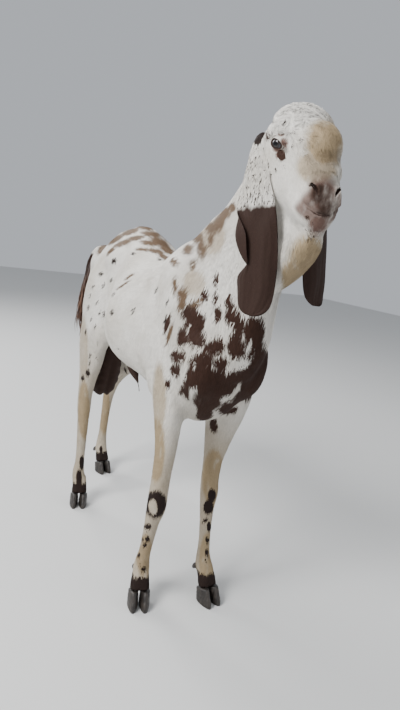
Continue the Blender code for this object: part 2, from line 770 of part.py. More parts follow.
def swollen(source):
    """A copy of an object grown by the gap that touching pieces keep."""
    copy = duplicate(source)
    grow = copy.modifiers.new("grow", "DISPLACE")
    grow.strength = GAP * 1.2
    grow.mid_level = 0.0
    return settled(copy)


# Claws and dewclaws


def claw(foot, side, name):
    """One horn claw, flat on the floor, cut to the slope of the coronet."""
    bm = bmesh.new()
    rows = []
    for height, ahead, width, toe, heel in CLAW_SECTIONS:
        spot = foot.place(side * CLAW_ACROSS, ahead, height)
        rows.append((*spot, width, toe, heel))
    add_tube(bm, rows, foot.ahead(), 7, 14, 2.4, narrow_top=CLAW_POINT)
    rough = object_from(bm, "rough_claw")
    point, normal = coronet_plane(foot)
    made = parted(rough, name, [(point - normal * GAP / 2, normal), (Vector((0, 0, 0)), Vector((0, 0, -1)))])
    drop(rough)
    return made


def coronet_plane(foot):
    """The plane between skin and horn, which falls towards the heel."""
    point = foot.place(0, 0, CORONET_HEIGHT)
    normal = (UP - foot.ahead() * CORONET_FALL).normalized()
    return point, normal


def dewclaw(foot, side):
    """A small horn knob behind the fetlock."""
    root = foot.place(side * DEWCLAW_ROOT[0], *DEWCLAW_ROOT[1:])
    tip = foot.place(side * DEWCLAW_TIP[0], *DEWCLAW_TIP[1:])
    middle = root.lerp(tip, 0.6) + UP * 0.002
    rows = (
        (*root, 0.0078, 0.0080, 0.0080),
        (*middle, 0.0076, 0.0078, 0.0078),
        (*tip, 0.0046, 0.0048, 0.0048),
    )
    bm = bmesh.new()
    add_tube(bm, rows, UP, 4, 8)
    return object_from(bm, "dewclaw")


# Tail, scrotum and sheath

LOCK_COUNT = 11
LOCK_TURN = 2.4
LOCK_WIDTH = 0.0135
LOCK_THICKNESS = 0.0052
LOCK_LENGTH = 0.105
LOCK_SPREAD = 0.035
BRUSH_START = 0.56
BRUSH_END = 0.98


def lock(start, lean, length, width, thick):
    """A flat tapered lock of hair that hangs from start and bends along its lie."""
    rows = []
    for step in range(5):
        t = step / 4
        drop_by = Vector((0, 0, -length * t))
        swing = lean * (length * (0.55 * t - 0.40 * t * t))
        size = (1 - t) ** 0.7 if t < 1 else 0.0
        size = max(size, 0.10)
        spot = start + drop_by + swing
        rows.append((*spot, width * size, thick * size, thick * size))
    return rows


def tail(flesh):
    """The dock with its brush of long hair."""
    behind_rump = (Vector((0, TAIL_CUT_Y + GAP / 2, 0)), Vector((0, -1, 0)))
    right_of_leg = (Vector((TAIL_LIMIT_X, 0, 0)), Vector((1, 0, 0)))
    dock = parted(flesh, "tail", [behind_rump, above(TAIL_LIMIT_Z), right_of_leg])
    thinned(dock, TAIL_TRIANGLES)
    rng = random.Random(SEED)
    rows = np.array(TAIL_SECTIONS, float)
    made = []
    for index in range(LOCK_COUNT):
        t = BRUSH_START + (BRUSH_END - BRUSH_START) * index / (LOCK_COUNT - 1)
        around = index * LOCK_TURN
        core = spline(rows, t)
        lean = Vector((math.cos(around), math.sin(around), 0.0))
        start = Vector(core[:3]) + lean * core[3] * 0.35
        length = (LOCK_LENGTH + LOCK_SPREAD * rng.random()) * (1.10 - 0.25 * t)
        bm = bmesh.new()
        add_tube(bm, lock(start, lean, length, LOCK_WIDTH, LOCK_THICKNESS), lean, 4, 5)
        made.append(object_from(bm, "lock"))
    return combined(dock, made, "UNION")


SCROTUM_SECTIONS = (
    (0.0, 0.252, 0.660, 0.026, 0.028, 0.028),
    (0.0, 0.258, 0.590, 0.032, 0.034, 0.032),
    (0.0, 0.266, 0.525, 0.042, 0.040, 0.036),
    (0.0, 0.282, 0.460, 0.049, 0.044, 0.040),
    (0.0, 0.297, 0.410, 0.048, 0.044, 0.041),
    (0.0, 0.306, 0.370, 0.037, 0.036, 0.035),
    (0.0, 0.309, 0.350, 0.018, 0.018, 0.018),
)
SHEATH_SECTIONS = (
    (0.0, 0.125, 0.545, 0.022, 0.026, 0.026),
    (0.0, 0.084, 0.514, 0.019, 0.019, 0.020),
    (0.0, 0.054, 0.494, 0.0145, 0.014, 0.014),
    (0.0, 0.036, 0.482, 0.0080, 0.0080, 0.0080),
    (0.0, 0.022, 0.468, 0.0060, 0.0060, 0.0060),
    (0.0, 0.012, 0.450, 0.0045, 0.0045, 0.0045),
)


def hanging_piece(name, sections, toward, neighbours, rings, segments):
    """A piece that hangs from the trunk and meets its neighbours face to face."""
    bm = bmesh.new()
    add_tube(bm, sections, toward, rings, segments)
    made = object_from(bm, name)
    for neighbour in neighbours:
        combined(made, [swollen(neighbour)], "DIFFERENCE", "EXACT")
    return made


# Finishes: linear red, green, blue, roughness
FINISHES = {
    "coat": ((0.72, 0.68, 0.62), 0.85),
    "ear_skin": ((0.10, 0.055, 0.045), 0.75),
    "eye": ((0.03, 0.02, 0.012), 0.15),
    "horn": ((0.055, 0.045, 0.040), 0.5),
    "tail_hair": ((0.22, 0.10, 0.06), 0.8),
    "dark_skin": ((0.06, 0.035, 0.03), 0.7),
}


def finish_of(name):
    if name.startswith("ear"):
        return "ear_skin"
    if name.startswith("eye"):
        return "eye"
    if "claw" in name:
        return "horn"
    if name == "tail":
        return "tail_hair"
    if name in ("scrotum", "sheath"):
        return "dark_skin"
    return "coat"


def dress(made):
    """Gives an object its finish and smooth shading."""
    slot = finish_of(made.name)
    material = bpy.data.materials.get(slot)
    if material is None:
        material = bpy.data.materials.new(slot)
        material.use_nodes = True
        shader = material.node_tree.nodes["Principled BSDF"]
        colour, roughness = FINISHES[slot]
        shader.inputs["Base Color"].default_value = (*colour, 1.0)
        shader.inputs["Roughness"].default_value = roughness
        shader.inputs["Metallic"].default_value = 0.0
    made.data.materials.clear()
    made.data.materials.append(material)
    made.data.shade_smooth()
    made.data.set_sharp_from_angle(angle=math.radians(50))


def legs(flesh):
    """Each leg in an upper and a lower length, with its two claws."""
    made = []
    for name, foot in FEET.items():
        cut_z = KNEE_CUT_Z if name.startswith("fore") else HOCK_CUT_Z
        side = -1 if name.endswith("right") else 1
        middle = (Vector((0, 0, 0)), Vector((-side, 0, 0)))
        ahead = -1 if name.startswith("fore") else 1
        span = (Vector((0, 0, 0)), Vector((0, -ahead, 0)))
        coronet, slope = coronet_plane(foot)
        top = (LEG_TOP_POINT - LEG_TOP_NORMAL * GAP / 2, LEG_TOP_NORMAL)
        upper = parted(flesh, f"{name}_leg_upper", [top, above(cut_z), middle, span])
        foot_top = (coronet + slope * GAP / 2, -slope)
        lower = parted(flesh, f"{name}_leg_lower", [below(cut_z), middle, span, foot_top])
        thinned(upper, LEG_TRIANGLES)
        thinned(lower, LEG_TRIANGLES)
        combined(lower, [dewclaw(foot, -1), dewclaw(foot, 1)], "UNION")
        made += [upper, lower]
        for claw_name, across in (("inner", -side), ("outer", side)):
            made.append(claw(foot, across, f"{name}_claw_{claw_name}"))
    return made


def centred(objects):
    """Moves everything so that the middle of the whole stands over the origin."""
    corners = [made.matrix_world @ Vector(c) for made in objects for c in made.bound_box]
    low = Vector(map(min, *corners))
    high = Vector(map(max, *corners))
    shift = Vector((-(low.x + high.x) / 2, -(low.y + high.y) / 2, -low.z))
    for made in objects:
        made.data.transform(Matrix.Translation(shift))
    return shift


def main():
    for old in list(bpy.data.objects):
        bpy.data.objects.remove(old)
    flesh = body_flesh()
    made = legs(flesh)
    torso = parted(
        flesh,
        "torso",
        [
            (LEG_TOP_POINT + LEG_TOP_NORMAL * GAP / 2, -LEG_TOP_NORMAL),
            (NECK_BASE_POINT - NECK_BASE_NORMAL * GAP / 2, NECK_BASE_NORMAL),
            (Vector((0, TAIL_CUT_Y - GAP / 2, 0)), Vector((0, 1, 0))),
        ],
    )
    thinned(torso, TORSO_TRIANGLES)
    neck = parted(
        flesh,
        "neck",
        [
            (NECK_BASE_POINT + NECK_BASE_NORMAL * GAP / 2, -NECK_BASE_NORMAL),
            (HEAD_CUT_POINT - HEAD_CUT_NORMAL * GAP / 2, HEAD_CUT_NORMAL),
        ],
    )
    thinned(neck, NECK_TRIANGLES)
    skull, bare = head()
    made += [torso, neck, skull]
    made += [ear(-1, "ear_right", bare), ear(1, "ear_left", bare)]
    made += [
        ball_object("eye_right", eye_frame(-1)[0], EYE_RADIUS),
        ball_object("eye_left", eye_frame(1)[0], EYE_RADIUS),
    ]
    made.append(tail(flesh))
    hind = [piece for piece in made if piece.name.startswith("hind") and "upper" in piece.name]
    made.append(hanging_piece("scrotum", SCROTUM_SECTIONS, FORWARD, [torso, *hind], 9, 16))
    made.append(hanging_piece("sheath", SHEATH_SECTIONS, UP, [torso], 10, 10))
    drop(flesh, bare)
    for piece in made:
        dress(piece)
    centred(made)


main()
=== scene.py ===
"""Looks of a standing Makhi Cheeni buck goat, life size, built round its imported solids.

One skin stands for every node of flesh. Over it lie small mesh tufts of the short coat, curls on
the forehead and nose, and the brush of the tail. Skin and coat carry the same markings.
Everything is modelled in the frame that the solids were drawn in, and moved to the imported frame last.
"""

import json
import logging
import math
import random
from dataclasses import dataclass, field
from enum import Enum

import bmesh
import bpy
import numpy as np
from mathutils import Matrix, Quaternion, Vector
from mathutils.bvhtree import BVHTree
from mathutils.geometry import barycentric_transform
from mathutils.kdtree import KDTree

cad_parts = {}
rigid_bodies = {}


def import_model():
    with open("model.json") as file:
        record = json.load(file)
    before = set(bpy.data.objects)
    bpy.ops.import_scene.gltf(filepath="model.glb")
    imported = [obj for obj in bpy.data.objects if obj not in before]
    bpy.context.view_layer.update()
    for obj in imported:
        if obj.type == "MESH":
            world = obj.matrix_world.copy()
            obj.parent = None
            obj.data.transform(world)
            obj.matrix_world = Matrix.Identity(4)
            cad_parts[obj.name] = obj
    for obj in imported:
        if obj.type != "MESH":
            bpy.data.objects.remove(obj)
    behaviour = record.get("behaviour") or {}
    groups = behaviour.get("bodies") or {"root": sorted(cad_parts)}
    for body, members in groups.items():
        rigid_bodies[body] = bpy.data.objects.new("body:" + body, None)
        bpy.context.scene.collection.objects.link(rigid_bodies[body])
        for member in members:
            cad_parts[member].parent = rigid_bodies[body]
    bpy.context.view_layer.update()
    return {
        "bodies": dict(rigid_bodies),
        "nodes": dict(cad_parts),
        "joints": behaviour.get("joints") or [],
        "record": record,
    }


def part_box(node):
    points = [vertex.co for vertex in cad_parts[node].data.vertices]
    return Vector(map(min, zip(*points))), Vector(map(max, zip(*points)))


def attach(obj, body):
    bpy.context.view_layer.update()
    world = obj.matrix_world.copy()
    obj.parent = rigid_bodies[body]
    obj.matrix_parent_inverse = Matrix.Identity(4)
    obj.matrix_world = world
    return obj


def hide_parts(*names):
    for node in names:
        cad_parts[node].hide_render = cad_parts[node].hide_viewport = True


log = logging.getLogger("goat")

Array = np.ndarray
Row = tuple[float, ...]

SEED = 7
MERGE = 1e-5

UP = Vector((0.0, 0.0, 1.0))
LEFTWARD = Vector((1.0, 0.0, 0.0))

# The eye opening's half length, rise and drop
LID_SPAN = (0.0096, 0.0060, 0.0054)

# The head's frame, as the solids were drawn
EYE_LEVEL = Vector((-0.0108, -0.5399, 1.0659))
EYE_ALONG = 0.075
EYE_SEAT = (0.078, 0.034, 0.047)
EYE_RADIUS = 0.0145
EYE_LOOK = (0.44, 0.26, 0.86)
EYE_OPENING = (0.96, 0.28, 0.0)
HEAD_YAW = math.radians(14.0)
HEAD_PITCH = math.radians(44.0)
HEAD_ROLL = math.radians(2.0)


class Side(Enum):
    """The two sides of the goat, as the sign of x."""

    RIGHT = -1
    LEFT = 1


class Mark(Enum):
    """The markings and tints that skin and coat carry, with some painted shade among them, each a number held
    at every point.
    """

    TAN = "tan"
    COCOA = "cocoa"
    # Black marks, and painted shade over the lower left ear and the ears' folded band
    BLACK = "black"
    CREAM = "cream"
    # Dark bare skin, and painted shade inside the nostrils and along the mouth
    HIDE = "hide"
    ROSE = "rose"
    # The dark brown of the muzzle and eyes, and painted shade in creases, the dewlap's groove and under the
    # domed nose
    SHADE = "shade"


class Slot(Enum):
    """The record's material slots."""

    COAT = "coat"
    EYE = "eye"
    HORN = "horn"
    TAIL = "tail_hair"


def ramp(low: float, high: float, value: Array) -> Array:
    """A smooth step from 0 at low to 1 at high.

    Args:
        low: where the step starts.
        high: where it ends.
        value: the numbers to read.

    Returns:
        The step at each number.
    """
    t = np.clip((value - low) / (high - low), 0.0, 1.0)
    return t * t * (3.0 - 2.0 * t)


def unit(vectors: Array) -> Array:
    """The vectors brought to length one."""
    return vectors / np.maximum(np.linalg.norm(vectors, axis=-1, keepdims=True), 1e-9)


def spline(rows: Array, t: float) -> Array:
    """A smooth value read from rows.

    Args:
        rows: the rows to pass through.
        t: from 0 at the first row to 1 at the last.

    Returns:
        The row at t.
    """
    place = t * (len(rows) - 1)
    start = min(int(place), len(rows) - 2)
    u = place - start
    before, first, second, after = (
        rows[max(start - 1, 0)],
        rows[start],
        rows[start + 1],
        rows[min(start + 2, len(rows) - 1)],
    )
    return 0.5 * (
        2 * first
        + (second - before) * u
        + (2 * before - 5 * first + 4 * second - after) * u * u
        + (3 * first - before - 3 * second + after) * u**3
    )


def along_line(points: Array, line: Array) -> tuple[Array, Array]:
    """How far points lie from a line of straight pieces.

    Args:
        points: the points to measure.
        line: the corners of the line.

    Returns:
        The distance of each point, and its place from 0 to 1 along the line.
    """
    best = np.full(len(points), 1e9)
    place = np.zeros(len(points))
    pieces = len(line) - 1
    for index in range(pieces):
        start, step = line[index], line[index + 1] - line[index]
        t = np.clip((points - start) @ step / max(step @ step, 1e-12), 0.0, 1.0)
        distance = np.linalg.norm(points - start - t[:, None] * step, axis=1)
        nearer = distance < best
        best[nearer] = distance[nearer]
        place[nearer] = (index + t[nearer]) / pieces
    return best, place


class Stance:
    """The frame the solids were drawn in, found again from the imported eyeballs."""

    def __init__(self) -> None:
        """Reads the eyeballs and works out the head's axes."""
        ahead = Vector((-math.sin(HEAD_YAW), -math.cos(HEAD_YAW), 0.0))
        left = Vector((math.cos(HEAD_YAW), -math.sin(HEAD_YAW), 0.0))
        self.along = ahead * math.cos(HEAD_PITCH) - UP * math.sin(HEAD_PITCH)
        tilt = Quaternion(self.along, HEAD_ROLL)
        self.out = tilt @ (ahead * math.sin(HEAD_PITCH) + UP * math.cos(HEAD_PITCH))
        self.left = tilt @ left
        self.axes = np.array([self.along, self.out, self.left])
        self.origin = np.array(self.head_point(0.0, 0.0, 0.0))
        seat = self.head_point(EYE_SEAT[0], EYE_SEAT[1], 0.0)
        self.shift = self.eye_middle() - seat

    def eye_middle(self) -> Vector:
        """The point midway between the two packed eyeballs."""
        corners = [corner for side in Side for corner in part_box(f"eye_{side.name.lower()}")]
        return sum(corners, Vector()) / len(corners)

    def head_point(self, along: float, out: float, left: float) -> Vector:
        """A point given along the face, out of the forehead and to the left.

        Args:
            along: from the poll towards the lips.
            out: from the plane of the eyes out of the forehead.
            left: from the middle to the goat's left.

        Returns:
            The point in the drawing frame.
        """
        return EYE_LEVEL + self.along * (along - EYE_ALONG) + self.out * out + self.left * left

    def head_direction(self, along: float, out: float, left: float) -> Vector:
        """A unit direction given in the head's own axes."""
        return (self.along * along + self.out * out + self.left * left).normalized()

    def in_head(self, points: Array) -> Array:
        """Points of the drawing frame in the head's own axes."""
        return (points - self.origin) @ self.axes.T

    def head_line(self, spots: tuple[Row, ...]) -> Array:
        """A line given in the head's axes, in the drawing frame."""
        return np.array([self.head_point(*spot[:3]) for spot in spots])


@dataclass(frozen=True)
class Sight:
    """The view of the photograph, in its pixels and in the drawing frame."""

    place: tuple[float, float, float] = (-0.6425, -1.3145, 0.900)
    heading: float = math.radians(32.1)
    dip: float = math.radians(11.9)
    roll: float = math.radians(8.2)
    focal: float = 518.0
    width: int = 400
    height: int = 710
    sensor: float = 36.0

    def axes(self) -> Array:
        """The unit vectors to the right, up and ahead.

        Returns:
            Three rows of three.
        """
        ahead = Vector(
            (
                math.sin(self.heading) * math.cos(self.dip),
                math.cos(self.heading) * math.cos(self.dip),
                -math.sin(self.dip),
            )
        )
        level = Vector((math.cos(self.heading), -math.sin(self.heading), 0.0))
        over = level.cross(ahead)
        right = level * math.cos(self.roll) + over * math.sin(self.roll)
        return np.array([right, right.cross(ahead), ahead])

    def ray(self, u: float, v: float) -> Vector:
        """The direction in which a pixel is seen.

        Args:
            u: how far across the picture.
            v: how far down the picture.

        Returns:
            A unit vector.
        """
        right, up, ahead = (Vector(axis) for axis in self.axes())
        across = (u - self.width / 2) / self.focal
        down = (v - self.height / 2) / self.focal
        return (ahead + right * across - up * down).normalized()

    def pixels(self, points: Array) -> tuple[Array, Array]:
        """The pixels at which points are seen, as two arrays.

        Args:
            points: the points, in the drawing frame.

        Returns:
            How far across and how far down.
        """
        seen = (points - np.array(self.place)) @ self.axes().T
        scale = self.focal / np.maximum(seen[:, 2], 0.05)
        return self.width / 2 + seen[:, 0] * scale, self.height / 2 - seen[:, 1] * scale

    def camera(self, shift: Vector) -> None:
        """Makes the scene's camera.

        Args:
            shift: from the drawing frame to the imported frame.
        """
        right, up, ahead = self.axes()
        data = bpy.data.cameras.new("photo_view")
        data.sensor_fit = "AUTO"
        data.sensor_width = self.sensor
        data.lens = self.sensor * self.focal / self.height
        data.clip_start = 0.01
        made = bpy.data.objects.new("photo_view", data)
        bpy.context.scene.collection.objects.link(made)
        turn = Matrix((right, up, -ahead)).transposed().to_4x4()
        made.matrix_world = Matrix.Translation(Vector(self.place) + shift) @ turn
        bpy.context.scene.camera = made


# Mesh helpers


def object_from(bm: bmesh.types.BMesh, name: str) -> bpy.types.Object:
    """Makes an object of a bmesh and frees the bmesh.

    Args:
        bm: the mesh, which is freed.
        name: the name.

    Returns:
        The object.
    """
    mesh = bpy.data.meshes.new(name)
    bm.to_mesh(mesh)
    bm.free()
    made = bpy.data.objects.new(name, mesh)
    bpy.context.scene.collection.objects.link(made)
    return made


def settled(made: bpy.types.Object) -> bpy.types.Object:
    """Applies an object's modifiers to its mesh.

    Args:
        made: the object.

    Returns:
        The same object.
    """
    bpy.context.view_layer.update()
    graph = bpy.context.evaluated_depsgraph_get()
    mesh = bpy.data.meshes.new_from_object(made.evaluated_get(graph))
    made.modifiers.clear()
    made.data = mesh
    return made


def add_tube(
    bm: bmesh.types.BMesh,
    sections: tuple[Row, ...],
    toward: Vector,
    rings: int,
    segments: int,
    power: float = 2.0,
    narrow: float = 0.0,
) -> None:
    """Adds a closed tube through sections of (x, y, z, half width, reach toward, reach away).

    Args:
        bm: the mesh it is added to.
        sections: the rows it passes through.
        toward: the way that the first reach points.
        rings: how many steps it has along.
        segments: how many it has round.
        power: 2 for an ellipse, more for a squarer section.
        narrow: how much the toward side narrows.
    """
    rows = np.array(sections, float)
    made = bmesh.ops.create_grid(bm, x_segments=rings, y_segments=segments, size=1.0)["verts"]
    step = 1e-3
    for vert in made:
        t = (vert.co.x + 1) / 2
        angle = vert.co.y * math.pi
        row = spline(rows, t)
        tangent = Vector(spline(rows, min(t + step, 1))[:3] - spline(rows, max(t - step, 0))[:3])
        tangent.normalize()
        reach_axis = (toward - tangent * toward.dot(tangent)).normalized()
        side_axis = tangent.cross(reach_axis)
        sine = math.copysign(abs(math.sin(angle)) ** (2 / power), math.sin(angle))
        cosine = math.copysign(abs(math.cos(angle)) ** (2 / power), math.cos(angle))
        reach = row[4] if sine > 0 else row[5]
        width = row[3] * (1 - narrow * max(sine, 0.0))
        vert.co = Vector(row[:3]) + side_axis * (width * cosine) + reach_axis * (reach * sine)
    bmesh.ops.remove_doubles(bm, verts=made, dist=1e-6)
    made = [vert for vert in made if vert.is_valid]
    rims = [edge for edge in {e for vert in made for e in vert.link_edges} if edge.is_boundary]
    bmesh.ops.holes_fill(bm, edges=rims, sides=0)
    faces = list({face for vert in made for face in vert.link_faces})
    bmesh.ops.recalc_face_normals(bm, faces=faces)


def points_of(mesh: bpy.types.Mesh) -> Array:
    """A mesh's points as an array.

    Args:
        mesh: the mesh.

    Returns:
        One row of three a point.
    """
    flat = np.empty(len(mesh.vertices) * 3)
    mesh.vertices.foreach_get("co", flat)
    return flat.reshape(-1, 3)


def normals_of(mesh: bpy.types.Mesh) -> Array:
    """A mesh's normals at its points as an array.

    Args:
        mesh: the mesh.

    Returns:
        One row of three a point.
    """
    flat = np.empty(len(mesh.vertices) * 3, np.float32)
    mesh.vertex_normals.foreach_get("vector", flat)
    return flat.reshape(-1, 3).astype(float)


def move_points(mesh: bpy.types.Mesh, points: Array) -> None:
    """Writes a mesh's points."""
    mesh.vertices.foreach_set("co", points.ravel())
    mesh.update()


def store(mesh: bpy.types.Mesh, name: str, values: Array) -> None:
    """Keeps a number or a vector at every point of a mesh.

    Args:
        mesh: the mesh.
        name: the attribute's name.
        values: one number a point, or one row of three.
    """
    kind, key = ("FLOAT", "value") if values.ndim == 1 else ("FLOAT_VECTOR", "vector")
    attribute = mesh.attributes.new(name, kind, "POINT")
    attribute.data.foreach_set(key, values.astype(np.float32).ravel())


def dressed(
    made: bpy.types.Object, nodes: tuple[str, ...], material: bpy.types.Material, shift: Vector
) -> bpy.types.Object:
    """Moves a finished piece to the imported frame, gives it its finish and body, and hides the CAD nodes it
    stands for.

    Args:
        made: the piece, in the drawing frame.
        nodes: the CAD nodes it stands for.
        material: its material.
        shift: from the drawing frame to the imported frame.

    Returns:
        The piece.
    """
    made.data.transform(Matrix.Translation(shift))
    made.data.materials.clear()
    made.data.materials.append(material)
    made.data.shade_smooth()
    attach(made, "root")
    if nodes:
        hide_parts(*nodes)
    return made


# Markings


@dataclass(frozen=True)
class Spot:
    """One patch of a marking by its pixel in the photograph: place, half sizes, lean and strength."""

    u: float
    v: float
    wide: float
    high: float
    lean: float = 0.0
    most: float = 1.0


# Chocolate-brown patches of the breast, shoulder and neck
COCOA_SPOTS = (
    Spot(191.6, 311.2, 9, 8), Spot(206, 293, 4, 6), Spot(217, 277, 2.6, 7), Spot(217, 294, 2.8, 7),
    Spot(219, 311, 5, 8), Spot(231, 300, 4.5, 7), Spot(234, 314, 8, 9), Spot(184, 334, 6, 11),
    Spot(196.5, 333.5, 7, 12), Spot(198, 318, 12, 9), Spot(215.6, 343, 10, 8), Spot(236, 343, 9, 13),
    Spot(255.4, 331, 11, 20), Spot(264, 313, 9, 14), Spot(179, 353, 8, 6), Spot(203, 357, 13, 8),
    Spot(204.4, 374, 19, 14), Spot(224, 381, 25, 18), Spot(252, 377, 17, 19), Spot(262, 358, 9, 16),
    Spot(208, 397, 15, 15), Spot(205, 413, 9, 8), Spot(230, 408, 9, 8), Spot(214, 423, 4, 8),
    Spot(176, 367, 5, 7), Spot(184, 391, 5, 10), Spot(169, 381, 3, 6), Spot(168, 322, 2.2, 12, 20),
    Spot(202, 336, 6, 7), Spot(243, 397, 12, 9), Spot(240, 322, 6, 9), Spot(270, 352, 5, 20),
    Spot(248, 352, 7, 6), Spot(192, 378, 9, 8), Spot(222, 360, 8, 6), Spot(243, 298, 7, 12),
    Spot(252, 310, 8, 14), Spot(281.3, 155.0, 4.2, 5.4, -20), Spot(269.3, 133.5, 2.6, 6.2, 20),
)
# White gaps and streaks left in the patches
WHITE_GAPS = (
    Spot(190, 350, 5.5, 6.5), Spot(240, 361.5, 13, 4.5, -20), Spot(229, 366, 4, 5),
    Spot(237, 389, 2.4, 9, 35), Spot(229, 396, 8, 2.0, -15), Spot(241, 402, 6, 3.0, -30),
    Spot(210, 325, 4.5, 8), Spot(221, 327, 3.5, 8), Spot(249, 345, 2.0, 9, 20), Spot(184, 372, 3, 5),
    Spot(180, 402, 7, 9), Spot(254, 300, 2, 8),
)
# Light brown patches of the loin, croup, withers and mane
TAN_SPOTS = (
    Spot(147, 228, 10, 2.6, 8), Spot(131, 232, 11, 2.9, -18), Spot(116, 239, 10, 3.1, -28),
    Spot(103, 249, 7, 3.4, -45), Spot(152, 235, 11, 2.9, 14), Spot(137, 238, 10, 2.4, -8),
    Spot(124, 243, 10, 2.7, -24), Spot(160, 243, 11, 3.5, 24), Spot(150, 244, 9, 2.6, 12),
    Spot(168, 251, 8, 3.5, 30), Spot(157, 252, 9, 2.6, 12), Spot(175, 260, 7, 3.0, 35),
    Spot(204, 247, 4.5, 9), Spot(220, 222, 5, 11, 25), Spot(176, 284, 3, 9), Spot(125, 284, 8, 1.1, -32),
    Spot(131, 276, 5, 1.1, -32), Spot(184, 292, 6, 7), Spot(226, 212, 5, 8, 30), Spot(213, 236, 3, 6),
    Spot(200, 236, 6, 7, 35), Spot(212, 226, 6, 6, 30), Spot(171, 330, 2.0, 12, 18),
    Spot(184, 300, 4, 9, 20), Spot(196, 300, 9, 3, -8), Spot(190, 249, 5, 6, 35),
    Spot(233, 207, 4, 5, 20), Spot(196, 262, 3, 5), Spot(112, 250, 6, 1.8, -40),
    Spot(143, 250, 7, 1.8, 6), Spot(166, 258, 7, 2.0, 26), Spot(120, 232, 6, 1.8, -30),
)
# Small dark spots of the flank, rump and thigh, and the dark marks of head and legs
BLACK_SPOTS = (
    Spot(115, 260, 2.9, 2.6), Spot(134.2, 253.8, 2.4, 1.6), Spot(161.3, 260, 1.9, 1.2),
    Spot(102.3, 273, 2, 2.2), Spot(112, 279, 1.4, 1.4), Spot(93.6, 285.7, 1.7, 1.2, 20),
    Spot(90.4, 294.5, 1.2, 1.6), Spot(104.7, 284, 0.9, 2.7), Spot(114.3, 293.7, 1.4, 1.6, 30),
    Spot(157.4, 288.9, 0.8, 4, 15), Spot(112.7, 311.5, 1.7, 3.2), Spot(135, 309.6, 1.2, 2.6),
    Spot(88.8, 306.4, 0.9, 2.6), Spot(100.7, 311.2, 0.8, 2.1), Spot(104.7, 312.8, 0.9, 2.9),
    Spot(98.3, 301.6, 0.9, 2.1), Spot(119, 347.9, 0.9, 1.4), Spot(98.3, 341.5, 0.9, 2.1),
    Spot(90.4, 354.3, 1.2, 2.1), Spot(88, 371.8, 2.4, 4), Spot(83, 377, 1.7, 3.2),
    Spot(168.5, 300, 0.8, 3.7, 10), Spot(86, 330, 1, 2.4), Spot(96, 325, 0.9, 2.1),
    Spot(90, 362, 1.1, 1.9), Spot(97, 357, 0.9, 1.8), Spot(92, 318, 0.9, 1.9),
    Spot(166, 318, 1.1, 5.6, 20), Spot(300, 139, 1.2, 3.0), Spot(292.4, 130.6, 1.2, 1.6),
    Spot(286, 121, 1.2, 1.5), Spot(275.5, 168.9, 0.9, 1.4), Spot(284, 166.6, 0.8, 1.2),
    Spot(310.8, 110, 1.0, 0.6), Spot(276.6, 129.8, 1.3, 1.3), Spot(282.4, 133.4, 1.3, 1.5),
    Spot(285.4, 143.2, 1.2, 0.9), Spot(292.2, 145.6, 1.2, 1.6), Spot(312.6, 222.4, 0.7, 0.7),
    Spot(212, 494, 4.2, 6.5), Spot(208.5, 506, 5.0, 7.0), Spot(205, 519.6, 3.6, 1.6, -30),
    Spot(209, 526, 2.2, 5.0), Spot(207.3, 539.3, 2.2, 3.4), Spot(206.8, 551.8, 1.9, 3.6),
    Spot(205.5, 560, 1.4, 1.3), Spot(147.5, 525.9, 3.8, 3.2), Spot(146.6, 533, 1.2, 1.2),
    Spot(147.6, 538.4, 2.6, 2.8), Spot(142.8, 538.6, 1.1, 2.0), Spot(144.8, 544.6, 2.4, 2.4),
    Spot(138.9, 554.5, 1.6, 2.2), Spot(149.6, 558, 2.2, 1.9, -30), Spot(140, 564.3, 1.1, 1.0),
    Spot(143.8, 568.4, 2.9, 2.4, -30), Spot(192.5, 564, 3.0, 4.6), Spot(196, 448, 1.6, 5.0),
    Spot(94.3, 447.4, 2.4, 3.0), Spot(101, 449, 1.5, 4.0), Spot(82, 462, 2.4, 7), Spot(79, 478, 3.0, 9),
    Spot(213, 566, 1.5, 6, 20),
)
# The right knee has a dark ring round a pale middle
KNEE_RING = Spot(155.8, 503.5, 10.5, 14.5, 8)
KNEE_PALE = Spot(153, 506, 4.4, 7.6, -8)
# The dark back of the right ear's root, and a row of small spots down it
EAR_ROOT_PATCH = (
    Spot(260, 134, 4.0, 11.0, 24), Spot(258.5, 140, 3.4, 4.5), Spot(269.5, 164, 1.0, 2.0),
    Spot(247.5, 167, 1.8, 0.6), Spot(262, 160.5, 1.8, 0.6), Spot(254, 175, 2.4, 0.7, -12),
)
# Soft tints; the last table also holds painted shade
CREAM_SPOTS = (
    Spot(324, 142, 23, 28), Spot(316, 166, 22, 20, 0, 0.25), Spot(309, 256, 24, 27),
    Spot(292, 272, 13, 20), Spot(214, 235, 14, 18, 0, 0.2), Spot(196, 280, 12, 14, 0, 0.2),
    Spot(160, 395, 8, 40, 0, 0.25), Spot(156, 448, 12, 46), Spot(214, 478, 16, 40), Spot(84, 410, 8, 40),
    Spot(104, 405, 8, 40), Spot(145, 555, 12, 30), Spot(208, 560, 12, 40),
    Spot(206, 440, 14, 16, 0, 0.15), Spot(84, 350, 5, 40, 0, 0.2),
)
ROSE_SPOTS = (
    Spot(323, 196, 20, 25), Spot(277, 149, 5.5, 4.5), Spot(279, 155, 5, 4), Spot(284.5, 142, 5.0, 6.0),
    Spot(281, 134, 4.5, 3.0), Spot(270, 131, 3, 6), Spot(318, 224, 14, 12),
)
# The dark brown of the muzzle and round the eyes, and painted shade in the chin creases, the dewlap's groove
# and under the domed nose
BROWN_AND_SHADE_SPOTS = (
    Spot(322, 194, 15, 14), Spot(328, 208, 13, 13), Spot(321, 180, 18, 9, 0, 0.18),
    Spot(311, 247, 3, 14, 0, 0.10), Spot(306, 261, 4, 6, 0, 0.10), Spot(326, 156, 22, 10, -8, 0.12),
    Spot(306, 152, 4, 14, 0, 0.08), Spot(318, 170, 20, 8, 0, 0.10), Spot(309, 230.5, 6, 1.6, 14),
    Spot(312, 236.5, 8, 1.6), Spot(307, 217, 3, 2), Spot(268, 128, 3, 6), Spot(285, 150, 4, 4, 0, 0.3),
)


